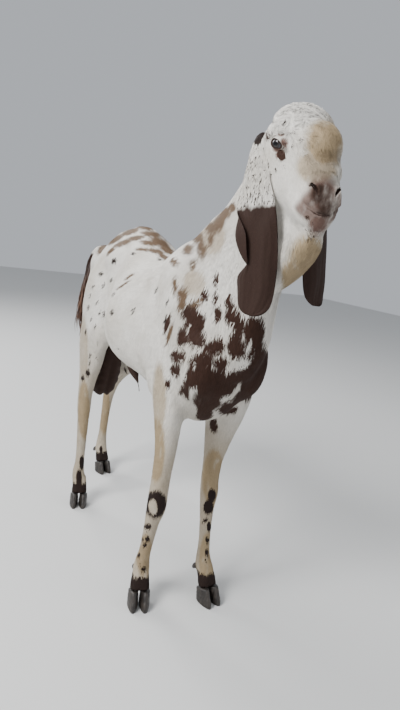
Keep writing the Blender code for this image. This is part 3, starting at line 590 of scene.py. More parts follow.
@dataclass
class Markings:
    """Where each marking lies on the goat, read for any points near its surface."""

    stance: Stance
    sight: Sight
    surface: BVHTree
    fringe: float = 2.4
    facing: float = 0.35
    far: float = -1.0
    pastern_height: float = 0.074
    seeded_spots: int = 70
    ear_specks: int = 190
    seeded: list[tuple[Array, Array, float, float]] = field(default_factory=list)

    def spread(self, spots: tuple[Spot, ...], points: Array, normals: Array) -> Array:
        """How deep points lie in the nearest of some patches.

        Args:
            spots: the patches.
            points: the points, in the drawing frame.
            normals: the surface's normals there.

        Returns:
            1 in the middle of a patch, 0 at its edge and less outside.
        """
        u, v = self.sight.pixels(points)
        camera = Vector(self.sight.place)
        deep = np.full(len(points), self.far)
        for spot in spots:
            ray = self.sight.ray(spot.u, spot.v)
            hit = self.surface.ray_cast(camera, ray)[0]
            if hit is None:
                continue
            reach = max(spot.wide, spot.high) * (hit - camera).length / self.sight.focal
            near = np.linalg.norm(points - np.array(hit), axis=1) < reach * self.fringe + 0.01
            near &= normals @ np.array(ray) < self.facing
            lean = math.radians(spot.lean)
            across, down = u[near] - spot.u, v[near] - spot.v
            first = (across * math.cos(lean) + down * math.sin(lean)) / spot.wide
            second = (down * math.cos(lean) - across * math.sin(lean)) / spot.high
            deep[near] = np.maximum(deep[near], np.minimum(1.0 - np.hypot(first, second), spot.most))
        return deep

    def seed(self, points: Array, lies: Array) -> None:
        """Draws the small spots of the sides that the photograph doesn't show.

        Args:
            points: places on the surface.
            lies: the lie of the coat there.
        """
        rng = random.Random(SEED)
        body = np.flatnonzero(self.unseen_body(points))
        for _ in range(self.seeded_spots):
            index = int(body[rng.randrange(len(body))])
            length = rng.uniform(0.006, 0.013)
            self.seeded.append((points[index], lies[index], length, length * rng.uniform(0.35, 0.6)))

    def unseen_body(self, points: Array) -> Array:
        """The flank, rump and thigh of the left side."""
        return (points[:, 0] > 0.05) & (points[:, 1] > -0.18) & (points[:, 2] > 0.42)

    def seeded_depth(self, points: Array) -> Array:
        """How deep points lie in the seeded spots.

        Args:
            points: the points, in the drawing frame.

        Returns:
            1 in the middle of a patch, 0 at its edge and less outside.
        """
        deep = np.full(len(points), self.far)
        for centre, lie, length, width in self.seeded:
            away = points - centre
            near = np.abs(away).max(axis=1) < length * self.fringe
            ahead = away[near] @ lie
            across = np.linalg.norm(away[near] - ahead[:, None] * lie, axis=1)
            deep[near] = np.maximum(deep[near], 1.0 - np.hypot(ahead / length, across / width))
        return deep

    def left_patches(self, points: Array) -> Array:
        """The brown patches of the left shoulder and neck, which the photograph doesn't show.

        Args:
            points: the points, in the drawing frame.

        Returns:
            1 in the middle of a patch, 0 at its edge and less outside.
        """
        deep = np.full(len(points), self.far)
        for centre, radii in LEFT_PATCHES:
            away = (points - np.array(centre)) / np.array(radii)
            deep = np.maximum(deep, 1.0 - np.linalg.norm(away, axis=1))
        return deep

    def read(self, points: Array, normals: Array, ears: "EarPlaces") -> dict[Mark, Array]:
        """All markings at some points.

        Args:
            points: the points, in the drawing frame.
            normals: the surface's normals there.
            ears: where the points lie on the ears.

        Returns:
            One array for each mark.
        """
        off_ear = ~ears.on_ear
        cocoa = np.maximum(self.spread(COCOA_SPOTS, points, normals), self.left_patches(points))
        gaps = self.spread(WHITE_GAPS, points, normals)
        cocoa = np.where(gaps > -0.25, np.minimum(cocoa, -gaps * 0.9), cocoa)
        black = np.maximum(self.spread(BLACK_SPOTS, points, normals), self.seeded_depth(points))
        ring = self.spread((KNEE_RING,), points, normals)
        pale = self.spread((KNEE_PALE,), points, normals)
        black = np.maximum(black, np.minimum(ring, -pale))
        black = np.maximum(black, self.pasterns(points))
        tan = np.maximum(self.spread(TAN_SPOTS, points, normals), self.left_back(points))
        cream = np.clip(self.spread(CREAM_SPOTS, points, normals) * 3.0, 0, 1)
        cream = np.maximum(cream, 0.70 * (1 - ramp(0.34, 0.60, points[:, 2])))
        head = self.stance.in_head(points)
        muzzle = ramp(0.196, 0.214, head[:, 0]) * ramp(0.004, 0.014, head[:, 1])
        rose = np.maximum(np.clip(self.spread(ROSE_SPOTS, points, normals) * 2.2, 0, 1), muzzle * 0.9)
        # Brown of the muzzle and eyes, with painted shade in creases, the dewlap's groove and under the domed
        # nose
        shade = np.clip(self.spread(BROWN_AND_SHADE_SPOTS, points, normals) * 2.4, 0, 1)
        # Dark bare skin, with painted shade inside the nostrils and along the mouth
        hide = np.maximum(self.hide(points, ears), self.lid_rims_and_painted_shade(points))
        root = self.spread(EAR_ROOT_PATCH, points, normals)
        # Painted shade: the lower left ear, which hangs in shade, and the band where the right ear's back
        # edge folds over are darkened with black
        left_ear_shade = np.where(points[:, 0] > 0, (ears.down - ears.dark_from) * 6.0 - 0.1, self.far)
        flap_shade_band = (ears.across > 0.18) & (ears.down > 0.56) & (ears.down < 0.745)
        root = np.maximum(np.maximum(root, left_ear_shade), np.where(flap_shade_band, 0.02, self.far))
        return {
            Mark.TAN: np.where(off_ear, tan, self.far),
            Mark.COCOA: np.where(off_ear, cocoa, self.far),
            Mark.BLACK: np.where(off_ear, black, np.maximum(self.specks(ears), root)),
            Mark.CREAM: np.where(off_ear, cream, 0.0),
            Mark.HIDE: hide,
            Mark.ROSE: np.where(off_ear, rose, 0.0),
            Mark.SHADE: shade,
        }

    def lid_rims_and_painted_shade(self, points: Array) -> Array:
        """The dark bare rims of the lids, and painted shade inside the nostrils and along the line of the
        mouth.

        Args:
            points: the points, in the drawing frame.

        Returns:
            1 in the middle of a patch, 0 at its edge and less outside.
        """
        deep = np.full(len(points), self.far)
        for side in Side:
            eye = EyeFrame.of(self.stance, side)
            away = points - np.array(eye.centre)
            a, b, z = (away @ np.array(axis) for axis in (eye.long_way, eye.over, eye.look))
            ratio = np.hypot(a / LID_SPAN[0], b / np.where(b > 0, LID_SPAN[1], LID_SPAN[2]))
            outside = (z > 0.003) & (np.linalg.norm(away, axis=1) < 0.024)
            rim = np.where(outside, (1.38 - ratio) * 3.0, self.far)
            deep = np.maximum(deep, rim)
            # Painted shade inside each nostril
            spots = tuple((u - 0.005, v - 0.004, side.value * w) for u, v, w, _ in NOSTRIL_LINE)
            deep = np.maximum(deep, 1.2 - along_line(points, self.stance.head_line(spots))[0] / 0.0038)
        # Painted shade along the line of the mouth
        lips = 1.45 - along_line(points, self.stance.head_line(MOUTH_LINE))[0] / 0.0021
        return np.maximum(np.maximum(deep, lips), self.far)

    def specks(self, ears: "EarPlaces") -> Array:
        """Dark specks over the white root of each ear, closer together towards its dark part.

        Args:
            ears: where the points lie on the ears.

        Returns:
            1 in the middle of a patch, 0 at its edge and less outside.
        """
        rng = random.Random(SEED + 1)
        deep = np.full(len(ears.down), self.far)
        for _ in range(self.ear_specks):
            above = 0.26 * rng.random() ** 1.8
            across = rng.uniform(-1, 1)
            size = rng.uniform(0.4, 1.1)
            down = (ears.down - ears.dark_from + above) / (0.0062 * size)
            side = (ears.across - across) / (0.034 * size)
            deep = np.maximum(deep, 1.0 - np.hypot(down, side))
        return deep

    def pasterns(self, points: Array) -> Array:
        """The dark pasterns and coronets of all four feet."""
        return (self.pastern_height - points[:, 2]) / 0.022

    def left_back(self, points: Array) -> Array:
        """Light brown patches across the loin and croup to the left.

        Args:
            points: the points, in the drawing frame.

        Returns:
            1 in the middle of a patch, 0 at its edge and less outside.
        """
        deep = np.full(len(points), self.far)
        for centre, radii in BACK_PATCHES:
            away = (points - np.array(centre)) / np.array(radii)
            deep = np.maximum(deep, 1.0 - np.linalg.norm(away, axis=1))
        return deep

    def hide(self, points: Array, ears: "EarPlaces") -> Array:
        """The dark leathery parts: the lower ears, scrotum, dock and the tip of the sheath.

        Args:
            points: the points, in the drawing frame.
            ears: where the points lie on the ears.

        Returns:
            1 in the middle of a patch, 0 at its edge and less outside.
        """
        ear = np.where(ears.on_ear, (ears.down - ears.dark_from) * 9.0, self.far)
        away, place = along_line(points, np.array(TAIL_SECTIONS)[:, :3])
        dock = np.where((away < 0.026) & (place > 0.34), (place - 0.40) * 8.0, self.far)
        bag = np.where(self.on_bag(points), 1.0, self.far)
        tip = np.where(self.on_sheath(points), (0.515 - points[:, 2]) / 0.015, self.far)
        return np.maximum.reduce((ear, dock, bag, tip))

    @staticmethod
    def on_bag(points: Array) -> Array:
        """Which points belong to the scrotum."""
        deep = np.hypot(points[:, 0] / 0.054, (points[:, 1] - 0.280) / 0.068) < 1
        return deep & (points[:, 2] < 0.575) & (np.abs(points[:, 0]) < 0.0515)

    @staticmethod
    def on_sheath(points: Array) -> Array:
        """Which points belong to the sheath."""
        return (np.abs(points[:, 0]) < 0.024) & (points[:, 2] < 0.530) & (np.abs(points[:, 1] - 0.05) < 0.09)


# Patches on the side that the photograph doesn't show: place, then radii
LEFT_PATCHES = (
    ((0.110, -0.350, 0.700), (0.05, 0.055, 0.075)),
    ((0.100, -0.385, 0.610), (0.05, 0.05, 0.06)),
    ((0.120, -0.250, 0.660), (0.04, 0.045, 0.05)),
    ((0.075, -0.395, 0.830), (0.03, 0.03, 0.05)),
    ((0.110, -0.300, 0.800), (0.04, 0.03, 0.04)),
    ((0.085, -0.330, 0.545), (0.03, 0.03, 0.035)),
)
BACK_PATCHES = (
    ((0.040, 0.120, 0.925), (0.05, 0.055, 0.04)),
    ((0.060, 0.210, 0.890), (0.04, 0.045, 0.04)),
    ((0.000, 0.270, 0.880), (0.035, 0.04, 0.04)),
    ((0.050, 0.020, 0.905), (0.04, 0.045, 0.03)),
    ((0.075, -0.150, 0.860), (0.03, 0.04, 0.03)),
    ((0.020, -0.240, 0.905), (0.03, 0.05, 0.04)),
    ((0.040, -0.380, 0.950), (0.025, 0.03, 0.05)),
)


# Ears


@dataclass
class EarPlaces:
    """Where points lie on the ears: on one or not, how far down, how far across, and which face."""

    on_ear: Array
    down: Array
    across: Array
    outer: Array
    dark_from: Array


@dataclass
class Ear:
    """One lop ear: a rolled cup at its root that opens into a long curved trough."""

    stance: Stance
    side: Side
    drift: tuple[Row, ...]
    faces: tuple[Row, ...]
    hanging_face: Row
    widths: Row
    dark_from: float
    inside: Row = (0.026, 0.012, 0.034)
    root: Row = (0.023, 0.016, 0.060)
    curls: Row = (5.0, 4.6, 4.0, 3.0, 2.0, 1.3, 1.0, 1.0, 1.2, 1.1, 0.6)
    thickness: float = 0.0034
    ripple: float = 0.004
    wrinkle: float = 0.0011
    flap_start: float = 0.50
    flap_end: float = 0.745
    flap_edge: float = 0.18
    flap_gap: float = 0.0080
    folded: bool = True
    front_tuck: float = 0.30
    steps: int = 120
    columns: int = 44
    grid: list[tuple[Vector, Vector, float, float]] = field(default_factory=list)

    def rows(self) -> Array:
        """Rows of place, facing, width and roll down the middle of the ear.

        Returns:
            One row for each place down the ear.
        """
        sign = self.side.value
        inside = self.stance.head_point(*self.inside[:2], sign * self.inside[2])
        root = self.stance.head_point(*self.root[:2], sign * self.root[2])
        path = [inside] + [root + Vector((sign * out, back, up)) for out, back, up in self.drift]
        faces = list(self.faces) + [self.hanging_face] * (len(path) - len(self.faces))
        return np.array([(*p, *f, w, c) for p, f, w, c in zip(path, faces, self.widths, self.curls)])

    def lift(self, t: float, across: float) -> float:
        """How far a point stands off the smooth trough: ripples, wrinkles and creases.

        Args:
            t: from 0 at the root to 1 at the tip.
            across: how far across.

        Returns:
            The height in metres.
        """
        lift = self.ripple * math.sin(9 * t + 2.0 * across) * abs(across) * t
        bare = min(1.0, max(0.0, (t - self.dark_from + 0.05) / 0.10))
        lift += self.wrinkle * bare * math.sin(6 * across + 3.0 * math.sin(5 * t) + 1.1 * math.sin(17 * t))
        fine = math.sin(22 * across - 5.0 * math.sin(5 * t + 1) + math.sin(31 * t))
        lift += 0.25 * self.wrinkle * bare * fine
        bend = math.exp(-(((t - 0.36) / 0.07) ** 2))
        return lift + 0.0012 * bend * math.sin(95 * (t - 0.05 * across * across))

    def across_at(self, t: float, across: float) -> tuple[float, float]:
        """Where a point of the flat leaf lies once its back edge is folded over.

        Args:
            t: from 0 at the root to 1 at the tip.
            across: from -1 to 1 over the flat leaf.

        Returns:
            Its place across, and how far the fold lifts it.
        """
        sign = -self.side.value
        toward_back = sign * across
        round_off = math.sqrt(max(0.0, 1 - max(0.0, (t - 0.92) / 0.08) ** 2)) * 0.94 + 0.06
        if toward_back < self.flap_edge:
            tuck = self.front_tuck * math.exp(-(((t - 0.40) / 0.10) ** 2)) * max(0.0, -toward_back)
            return across * (1 - tuck) * round_off, 0.0
        u = (toward_back - self.flap_edge) / (1 - self.flap_edge)
        if not self.folded or t < self.flap_start:
            return across * round_off, 0.0
        if t > self.flap_end:
            grown = min(1.0, (t - self.flap_end) / 0.075)
            back = self.flap_edge + (1 - self.flap_edge) * (0.12 + 0.88 * grown * grown * (3 - 2 * grown)) * u
            return sign * back * round_off, 0.0
        share = min(1.0, (t - self.flap_start) / 0.15)
        share *= share * (3 - 2 * share)
        down = (t - self.flap_start) / (self.flap_end - self.flap_start)
        crease = 1.0 - (1.0 - self.flap_edge) * 0.88 * down**3.0
        x = 1 - 2 * u
        over = (crease - self.flap_edge) * (1.04 - math.sqrt(x * x + 0.0144)) / 0.92
        rise = self.flap_gap * min(1.0, max(0.0, 0.5 - x * 1.6)) * (0.3 + 0.7 * math.sqrt(1 - down**6))
        shown = toward_back + (self.flap_edge + over - toward_back) * share
        return sign * shown, rise * share

    def build(self) -> bpy.types.Object:
        """The ear as a closed thin leaf whose root reaches into the head.

        Returns:
            What it builds.
        """
        rows = self.rows()
        bm = bmesh.new()
        made = bmesh.ops.create_grid(bm, x_segments=self.steps, y_segments=self.columns, size=1.0)["verts"]
        for vert in made:
            t, across = (vert.co.x + 1) / 2, vert.co.y
            row = spline(rows, t)
            tangent = Vector(spline(rows, min(t + 1e-3, 1))[:3] - spline(rows, max(t - 1e-3, 0))[:3])
            tangent.normalize()
            face = Vector(row[3:6])
            outward = (face - tangent * face.dot(tangent)).normalized()
            wide = tangent.cross(outward)
            radius = float(row[6] / row[7])
            shown, raised = self.across_at(t, across)
            angle = shown * float(row[7]) / 2
            vert.co = (
                Vector(row[:3])
                + wide * (radius * math.sin(angle))
                + outward * (radius * (math.cos(angle) - 1) + self.lift(t, across) + raised)
            )
            normal = (wide * math.sin(angle) + outward * math.cos(angle)).normalized()
            self.grid.append((vert.co.copy(), normal, t, across))
        bmesh.ops.solidify(bm, geom=bm.faces[:], thickness=self.thickness)
        bmesh.ops.recalc_face_normals(bm, faces=bm.faces)
        return object_from(bm, f"ear_{self.side.name.lower()}_leaf")


class Ears:
    """Both ears, and where any point lies on them."""

    def __init__(self, stance: Stance) -> None:
        """Sets out the two ears.

        Args:
            stance: the drawing frame.
        """
        self.pair = (
            Ear(
                stance, Side.RIGHT,
                drift=(
                    (0.000, 0.000, 0.000), (0.010, -0.003, -0.007), (0.017, -0.011, -0.032),
                    (0.023, -0.023, -0.072), (0.027, -0.035, -0.116), (0.026, -0.045, -0.162),
                    (0.022, -0.053, -0.208), (0.018, -0.058, -0.252), (0.014, -0.060, -0.294),
                    (0.012, -0.060, -0.322),
                ),
                faces=((-0.15, 0.25, 1.0), (-0.35, 0.10, 0.95), (-0.75, -0.15, 0.65), (-0.90, -0.38, 0.25)),
                hanging_face=(-0.90, -0.42, 0.0),
                widths=(0.060, 0.066, 0.070, 0.074, 0.078, 0.084, 0.088, 0.087, 0.084, 0.076, 0.056),
                dark_from=0.535,
            ),
            Ear(
                stance, Side.LEFT,
                drift=(
                    (0.000, 0.000, 0.000), (0.010, -0.003, -0.007), (0.014, -0.010, -0.032),
                    (0.012, -0.018, -0.070), (0.009, -0.025, -0.110), (0.010, -0.032, -0.152),
                    (0.014, -0.037, -0.194), (0.017, -0.040, -0.232), (0.020, -0.041, -0.270),
                    (0.022, -0.041, -0.296),
                ),
                faces=((0.15, 0.25, 1.0), (0.35, 0.10, 0.95), (0.65, -0.45, 0.60), (0.50, -0.80, 0.20)),
                hanging_face=(0.35, -0.94, 0.0),
                widths=(0.060, 0.066, 0.070, 0.072, 0.076, 0.086, 0.096, 0.100, 0.096, 0.080, 0.046),
                dark_from=0.47,
                curls=(5.0, 4.6, 4.0, 3.2, 2.4, 1.8, 1.6, 1.7, 1.5, 1.1, 0.6),
                folded=False,
            ),
        )
        self.reach = 0.0045

    def build(self) -> list[bpy.types.Object]:
        """The two leaves, and the search tree of their middle surfaces.

        Returns:
            What it builds.
        """
        leaves = [ear.build() for ear in self.pair]
        self.points = [(*row, ear.dark_from) for ear in self.pair for row in ear.grid]
        self.tree = KDTree(len(self.points))
        for index, row in enumerate(self.points):
            self.tree.insert(row[0], index)
        self.tree.balance()
        return leaves

    def places(self, points: Array) -> EarPlaces:
        """Where points lie on the ears.

        Args:
            points: the points, in the drawing frame.

        Returns:
            Their places on the ears.
        """
        count = len(points)
        found = EarPlaces(np.zeros(count, bool), *(np.zeros(count) for _ in range(4)))
        low = np.array(min(row[0].z for row in self.points)) - 0.01
        near = np.flatnonzero((points[:, 2] > low) & (points[:, 1] < -0.40))
        for index in near:
            spot, number, distance = self.tree.find(points[index])
            if distance > self.reach:
                continue
            _, normal, t, across, dark_from = self.points[number]
            found.on_ear[index] = t > 0.10
            found.down[index] = t
            found.across[index] = across
            found.outer[index] = (Vector(points[index]) - spot).dot(normal)
            found.dark_from[index] = dark_from
        return found


# The skin


@dataclass(frozen=True)
class Crease:
    """A groove or ridge of the skin along a line of head places."""

    line: tuple[Row, ...]
    width: float
    depth: float
    paired: bool = False


MOUTH_LINE = (
    (0.205, 0.026, -0.046), (0.213, 0.027, -0.038), (0.222, 0.027, -0.029), (0.231, 0.026, -0.016),
    (0.235, 0.026, 0.0),
    (0.231, 0.026, 0.016), (0.222, 0.027, 0.029), (0.213, 0.027, 0.038), (0.205, 0.026, 0.046),
)
UPPER_LIP = tuple((along - 0.001, out + 0.0055, left) for along, out, left in MOUTH_LINE)
LOWER_LIP = tuple((along - 0.001, out - 0.0050, left * 0.97) for along, out, left in MOUTH_LINE)

FACE_CREASES = (
    Crease(MOUTH_LINE, 0.0018, 0.0075),
    Crease(UPPER_LIP, 0.0034, -0.0020),
    Crease(LOWER_LIP, 0.0032, -0.0014),
    Crease(((0.236, 0.044, 0.0), (0.237, 0.034, 0.0), (0.236, 0.028, 0.0)), 0.0014, 0.0022),
    Crease(((0.206, 0.030, -0.047), (0.213, 0.031, -0.037), (0.219, 0.027, -0.029)), 0.0020, 0.0030, True),
    Crease(
        ((0.196, 0.050, -0.038), (0.203, 0.044, -0.041), (0.211, 0.036, -0.037), (0.217, 0.033, -0.031)),
        0.0040, -0.0036, True,
    ),
    Crease(((0.200, 0.040, -0.046), (0.206, 0.034, -0.044), (0.213, 0.030, -0.040)), 0.0022, 0.0030, True),
    Crease(((0.236, -0.004, -0.017), (0.2425, -0.001, -0.009), (0.245, 0.000, 0.0)), 0.0018, 0.0012, True),
    Crease(((0.235, -0.015, -0.016), (0.244, -0.0115, -0.009), (0.248, -0.011, 0.0)), 0.0024, 0.0013, True),
    Crease(((0.180, 0.030, -0.046), (0.190, 0.022, -0.048), (0.196, 0.012, -0.046)), 0.0030, 0.0014, True),
    Crease(((0.168, 0.040, -0.046), (0.172, 0.056, -0.030), (0.173, 0.062, 0.0)), 0.0042, 0.0016, True),
    Crease(((0.112, 0.030, -0.060), (0.104, 0.014, -0.066), (0.094, 0.004, -0.068)), 0.0024, 0.0014, True),
    Crease(((0.118, 0.026, -0.058), (0.112, 0.008, -0.064), (0.098, -0.006, -0.066)), 0.0026, 0.0010, True),
    Crease(((0.066, 0.046, -0.056), (0.058, 0.032, -0.064), (0.060, 0.014, -0.068)), 0.0032, -0.0024, True),
    Crease(((0.064, 0.048, -0.056), (0.079, 0.055, -0.052), (0.095, 0.053, -0.047)), 0.0055, -0.0030, True),
)

# The comma of a nostril: along, out, across, half width
NOSTRIL_LINE = (
    (0.2130, 0.0485, 0.0158, 0.0012), (0.2105, 0.0520, 0.0176, 0.0026), (0.2072, 0.0542, 0.0206, 0.0033),
    (0.2035, 0.0550, 0.0245, 0.0018),
)

# Folds of the dewlap and throat, in the drawing frame
DEWLAP_FOLDS = (
    (((-0.044, -0.664, 0.945), (-0.036, -0.654, 0.905), (-0.026, -0.620, 0.885)), 0.0040, 0.0040),
    (((-0.060, -0.640, 0.950), (-0.054, -0.620, 0.915), (-0.040, -0.590, 0.890)), 0.0045, 0.0022),
    (((-0.016, -0.652, 0.950), (-0.006, -0.630, 0.915), (0.004, -0.595, 0.890)), 0.0045, 0.0022),
)

TAIL_SECTIONS = (
    (0.000, 0.345, 0.826, 0.022, 0.028, 0.028),
    (-0.003, 0.388, 0.837, 0.020, 0.024, 0.024),
    (-0.014, 0.430, 0.832, 0.016, 0.020, 0.020),
    (-0.029, 0.456, 0.797, 0.012, 0.016, 0.016),
    (-0.038, 0.463, 0.745, 0.010, 0.013, 0.013),
    (-0.044, 0.464, 0.692, 0.008, 0.010, 0.010),
    (-0.049, 0.463, 0.647, 0.004, 0.004, 0.004),
)

LEGS = tuple(f"{end}_{side}" for end in ("fore", "hind") for side in ("right", "left"))
SOLID_FLESH = (
    "torso", "neck", "head", "scrotum", "sheath",
    *(f"{leg}_leg_{length}" for leg in LEGS for length in ("upper", "lower")),
)


@dataclass
class EyeFrame:
    """An eye's centre and its directions: the way it looks, along and over its opening."""

    centre: Vector
    look: Vector
    long_way: Vector
    over: Vector

    @classmethod
    def of(cls, stance: Stance, side: Side) -> "EyeFrame":
        """The frame of the eye on one side.

        Args:
            stance: the goat's stance.
            side: which side of the head.

        Returns:
            The frame.
        """
        along, out, across = EYE_SEAT
        centre = stance.head_point(along, out, side.value * across)
        look = stance.head_direction(EYE_LOOK[0], EYE_LOOK[1], side.value * EYE_LOOK[2])
        long_way = stance.head_direction(*EYE_OPENING)
        long_way = (long_way - look * long_way.dot(look)).normalized()
        over = look.cross(long_way)
        if over.dot(stance.out) < 0:
            over = -over
        return cls(centre, look, long_way, over)


@dataclass
class Skin:
    """The one skin over all flesh, drawn in by the depth of the coat, with folds, lids and lips."""

    stance: Stance
    ears: Ears
    frame: dict
    voxel: float = 0.0064
    smoothing: int = 5
    lid_bulge: float = 0.0160
    body_depth: float = 0.0026
    leg_depth: float = 0.0012
    face_depth: float = 0.0012
    wool_depth: float = 0.0040
    lid_thickness: float = 0.0022
    nostril_depth: float = 0.0100
    lobe_groove: float = 0.0095

    def build(self) -> bpy.types.Object:
        """Makes the skin, in the drawing frame.

        Returns:
            What it builds.
        """
        body = self.melted()
        self.draw_in(body)
        self.refine(body)
        self.carve(body)
        self.join(body, self.ears.build())
        self.soften_seams(body)
        return body

    def melted(self) -> bpy.types.Object:
        """Copies of the flesh nodes with a dock and bulging eyes, melted into one surface.

        Returns:
            The body.
        """
        bm = bmesh.new()
        for name in SOLID_FLESH:
            bm.from_mesh(self.frame["nodes"][name].data)
        bmesh.ops.remove_doubles(bm, verts=bm.verts, dist=MERGE)
        bmesh.ops.translate(bm, verts=bm.verts, vec=-self.stance.shift)
        add_tube(bm, TAIL_SECTIONS, LEFTWARD, 30, 16)
        for side in Side:
            eye = EyeFrame.of(self.stance, side)
            place = Matrix.Translation(eye.centre)
            bmesh.ops.create_icosphere(bm, subdivisions=3, radius=self.lid_bulge, matrix=place)
        made = object_from(bm, "skin")
        remesh = made.modifiers.new("melt", "REMESH")
        remesh.mode = "VOXEL"
        remesh.voxel_size = self.voxel
        smooth = made.modifiers.new("smooth", "SMOOTH")
        smooth.factor = 0.5
        smooth.iterations = self.smoothing
        return settled(made)

    def depth(self, points: Array) -> Array:
        """How deep the coat is at some points.

        Args:
            points: the points, in the drawing frame.

        Returns:
            The depth in metres.
        """
        head = self.stance.in_head(points)
        on_head = ramp(-0.01, 0.03, head[:, 0]) * ramp(0.90, 0.94, points[:, 2])
        wool = on_head * ramp(0.045, 0.060, head[:, 1]) * (1 - ramp(0.150, 0.175, head[:, 0]))
        leg = 1 - ramp(0.30, 0.50, points[:, 2])
        depth = self.body_depth + (self.leg_depth - self.body_depth) * leg
        depth = depth + (self.face_depth - depth) * on_head
        return depth + (self.wool_depth - depth) * wool

    def draw_in(self, body: bpy.types.Object) -> None:
        """Draws the skin in by the coat's depth.

        Args:
            body: the body so far.
        """
        points = points_of(body.data)
        points -= normals_of(body.data) * self.depth(points)[:, None]
        move_points(body.data, points)

    def join(self, body: bpy.types.Object, leaves: list[bpy.types.Object]) -> None:
        """Joins the ears to the body in one surface.

        Args:
            body: the body so far.
            leaves: the leaves of both ears.
        """
        group = bpy.data.collections.new("leaves")
        for leaf in leaves:
            group.objects.link(leaf)
        boolean = body.modifiers.new("join", "BOOLEAN")
        boolean.operation = "UNION"
        boolean.operand_type = "COLLECTION"
        boolean.collection = group
        boolean.solver = "MANIFOLD"
        settled(body)
        for leaf in leaves:
            bpy.data.objects.remove(leaf)
        bpy.data.collections.remove(group)

    def soften_seams(self, body: bpy.types.Object, rounds: int = 4) -> None:
        """Softens the line where each ear leaves the head.

        Args:
            body: the body so far.
            rounds: how often it smooths.
        """
        bm = bmesh.new()
        bm.from_mesh(body.data)
        bm.verts.ensure_lookup_table()
        on_ear = self.ears.places(np.array([vert.co for vert in bm.verts])).on_ear
        near = {v for e in bm.edges if on_ear[e.verts[0].index] != on_ear[e.verts[1].index] for v in e.verts}
        for _ in range(2):
            near |= {edge.other_vert(vert) for vert in near for edge in vert.link_edges}
        for _ in range(rounds):
            bmesh.ops.smooth_vert(
                bm, verts=list(near), factor=0.5, use_axis_x=True, use_axis_y=True, use_axis_z=True
            )
        bm.to_mesh(body.data)
        bm.free()

    def refine(self, body: bpy.types.Object) -> None:
        """Makes the mesh finer on the head, and finer still round nose, mouth and eyes.

        Args:
            body: the body so far.
        """
        bm = bmesh.new()
        bm.from_mesh(body.data)
        for level, (reach, rounds) in enumerate(((0.0, 3), (0.030, 9), (0.021, 3))):
            bm.verts.ensure_lookup_table()
            points = np.array([vert.co for vert in bm.verts])
            chosen = self.on_head(points) if level == 0 else self.by_eye(points, reach)
            if level == 1:
                chosen |= self.by_nose(points)
            edges = [edge for edge in bm.edges if chosen[edge.verts[0].index] and chosen[edge.verts[1].index]]
            bmesh.ops.subdivide_edges(bm, edges=edges, cuts=1, use_grid_fill=True)
            bm.verts.ensure_lookup_table()
            points = np.array([vert.co for vert in bm.verts])
            near = self.on_head(points) if level == 0 else self.by_eye(points, reach) | self.by_nose(points)
            soft = [vert for vert in bm.verts if near[vert.index]]
            for _ in range(rounds):
                bmesh.ops.smooth_vert(
                    bm, verts=soft, factor=0.5, use_axis_x=True, use_axis_y=True, use_axis_z=True
                )
        bm.to_mesh(body.data)
        bm.free()

    def on_head(self, points: Array) -> Array:
        """Which points belong to the head."""
        head = self.stance.in_head(points)
        return (head[:, 0] > 0.0) & (points[:, 2] > 0.93) & (head[:, 1] > -0.03)

    def by_nose(self, points: Array) -> Array:
        """Which points lie near the nose and mouth."""
        head = self.stance.in_head(points)
        return (head[:, 0] > 0.186) & (head[:, 1] > -0.016) & (points[:, 2] > 0.93)

    def by_eye(self, points: Array, reach: float) -> Array:
        """Which points lie near an eye."""
        eyes = [np.array(EyeFrame.of(self.stance, side).centre) for side in Side]
        return np.min([np.linalg.norm(points - eye, axis=1) for eye in eyes], axis=0) < reach

    def carve(self, body: bpy.types.Object) -> None:
        """Shapes the lids, nostrils, lips and folds.

        Args:
            body: the body so far.
        """
        points = points_of(body.data)
        normals = normals_of(body.data)
        for crease in FACE_CREASES:
            signs = (-1, 1) if crease.paired else (1,)
            for sign in signs:
                line = self.stance.head_line(tuple((a, o, left * sign) for a, o, left in crease.line))
                distance, place = along_line(points, line)
                ends = np.sqrt(np.clip(1.15 - (2 * place - 1) ** 2, 0, 1))
                push = crease.depth * np.exp(-((distance / crease.width) ** 2)) * ends
                points -= normals * push[:, None]
        for line, width, depth in DEWLAP_FOLDS:
            distance, _ = along_line(points, np.array(line))
            points -= normals * (depth * np.exp(-((distance / width) ** 2)))[:, None]
        for side in Side:
            self.open_nostril(points, normals, side)
            self.open_lids(points, side)
        self.wrinkle_bag(points, normals)
        move_points(body.data, points)

    def wrinkle_bag(self, points: Array, normals: Array) -> None:
        """Parts the scrotum in two lobes and wrinkles it.

        Args:
            points: the points, in the drawing frame.
            normals: the surface's normals there.
        """
        bag = Markings.on_bag(points)
        x, y, z = points[bag].T
        low = 1 - ramp(0.44, 0.54, z)
        push = self.lobe_groove * low * np.exp(-((x / 0.009) ** 2))
        push += 0.0012 * np.sin(z * 260 + 5 * np.sin(x * 60) + 3 * np.sin(y * 70)) * low
        points[bag] -= normals[bag] * push[:, None]

    def open_nostril(self, points: Array, normals: Array, side: Side) -> None:
        """Sinks one nostril and raises its rim.

        Args:
            points: the points, in the drawing frame.
            normals: the surface's normals there.
            side: which side of the head.
        """
        rows = np.array(NOSTRIL_LINE)
        spots = tuple((along, out, side.value * across) for along, out, across, _ in NOSTRIL_LINE)
        line = self.stance.head_line(spots)
        inward = np.array((self.stance.out * -0.45 - self.stance.along * 0.85).normalized())
        near = np.linalg.norm(points - line[1], axis=1) < 0.032
        flat = points[near] - np.outer((points[near] - line[1]) @ inward, inward)
        level = line - np.outer((line - line[1]) @ inward, inward)
        distance, place = along_line(flat, level)
        ratio = distance / np.interp(place, np.linspace(0, 1, len(rows)), rows[:, 3])
        hollow = self.nostril_depth * (1 - ramp(0.35, 1.15, ratio))
        rim = 0.0011 * np.exp(-(((ratio - 1.7) / 0.45) ** 2))
        points[near] += inward * hollow[:, None] + normals[near] * rim[:, None]

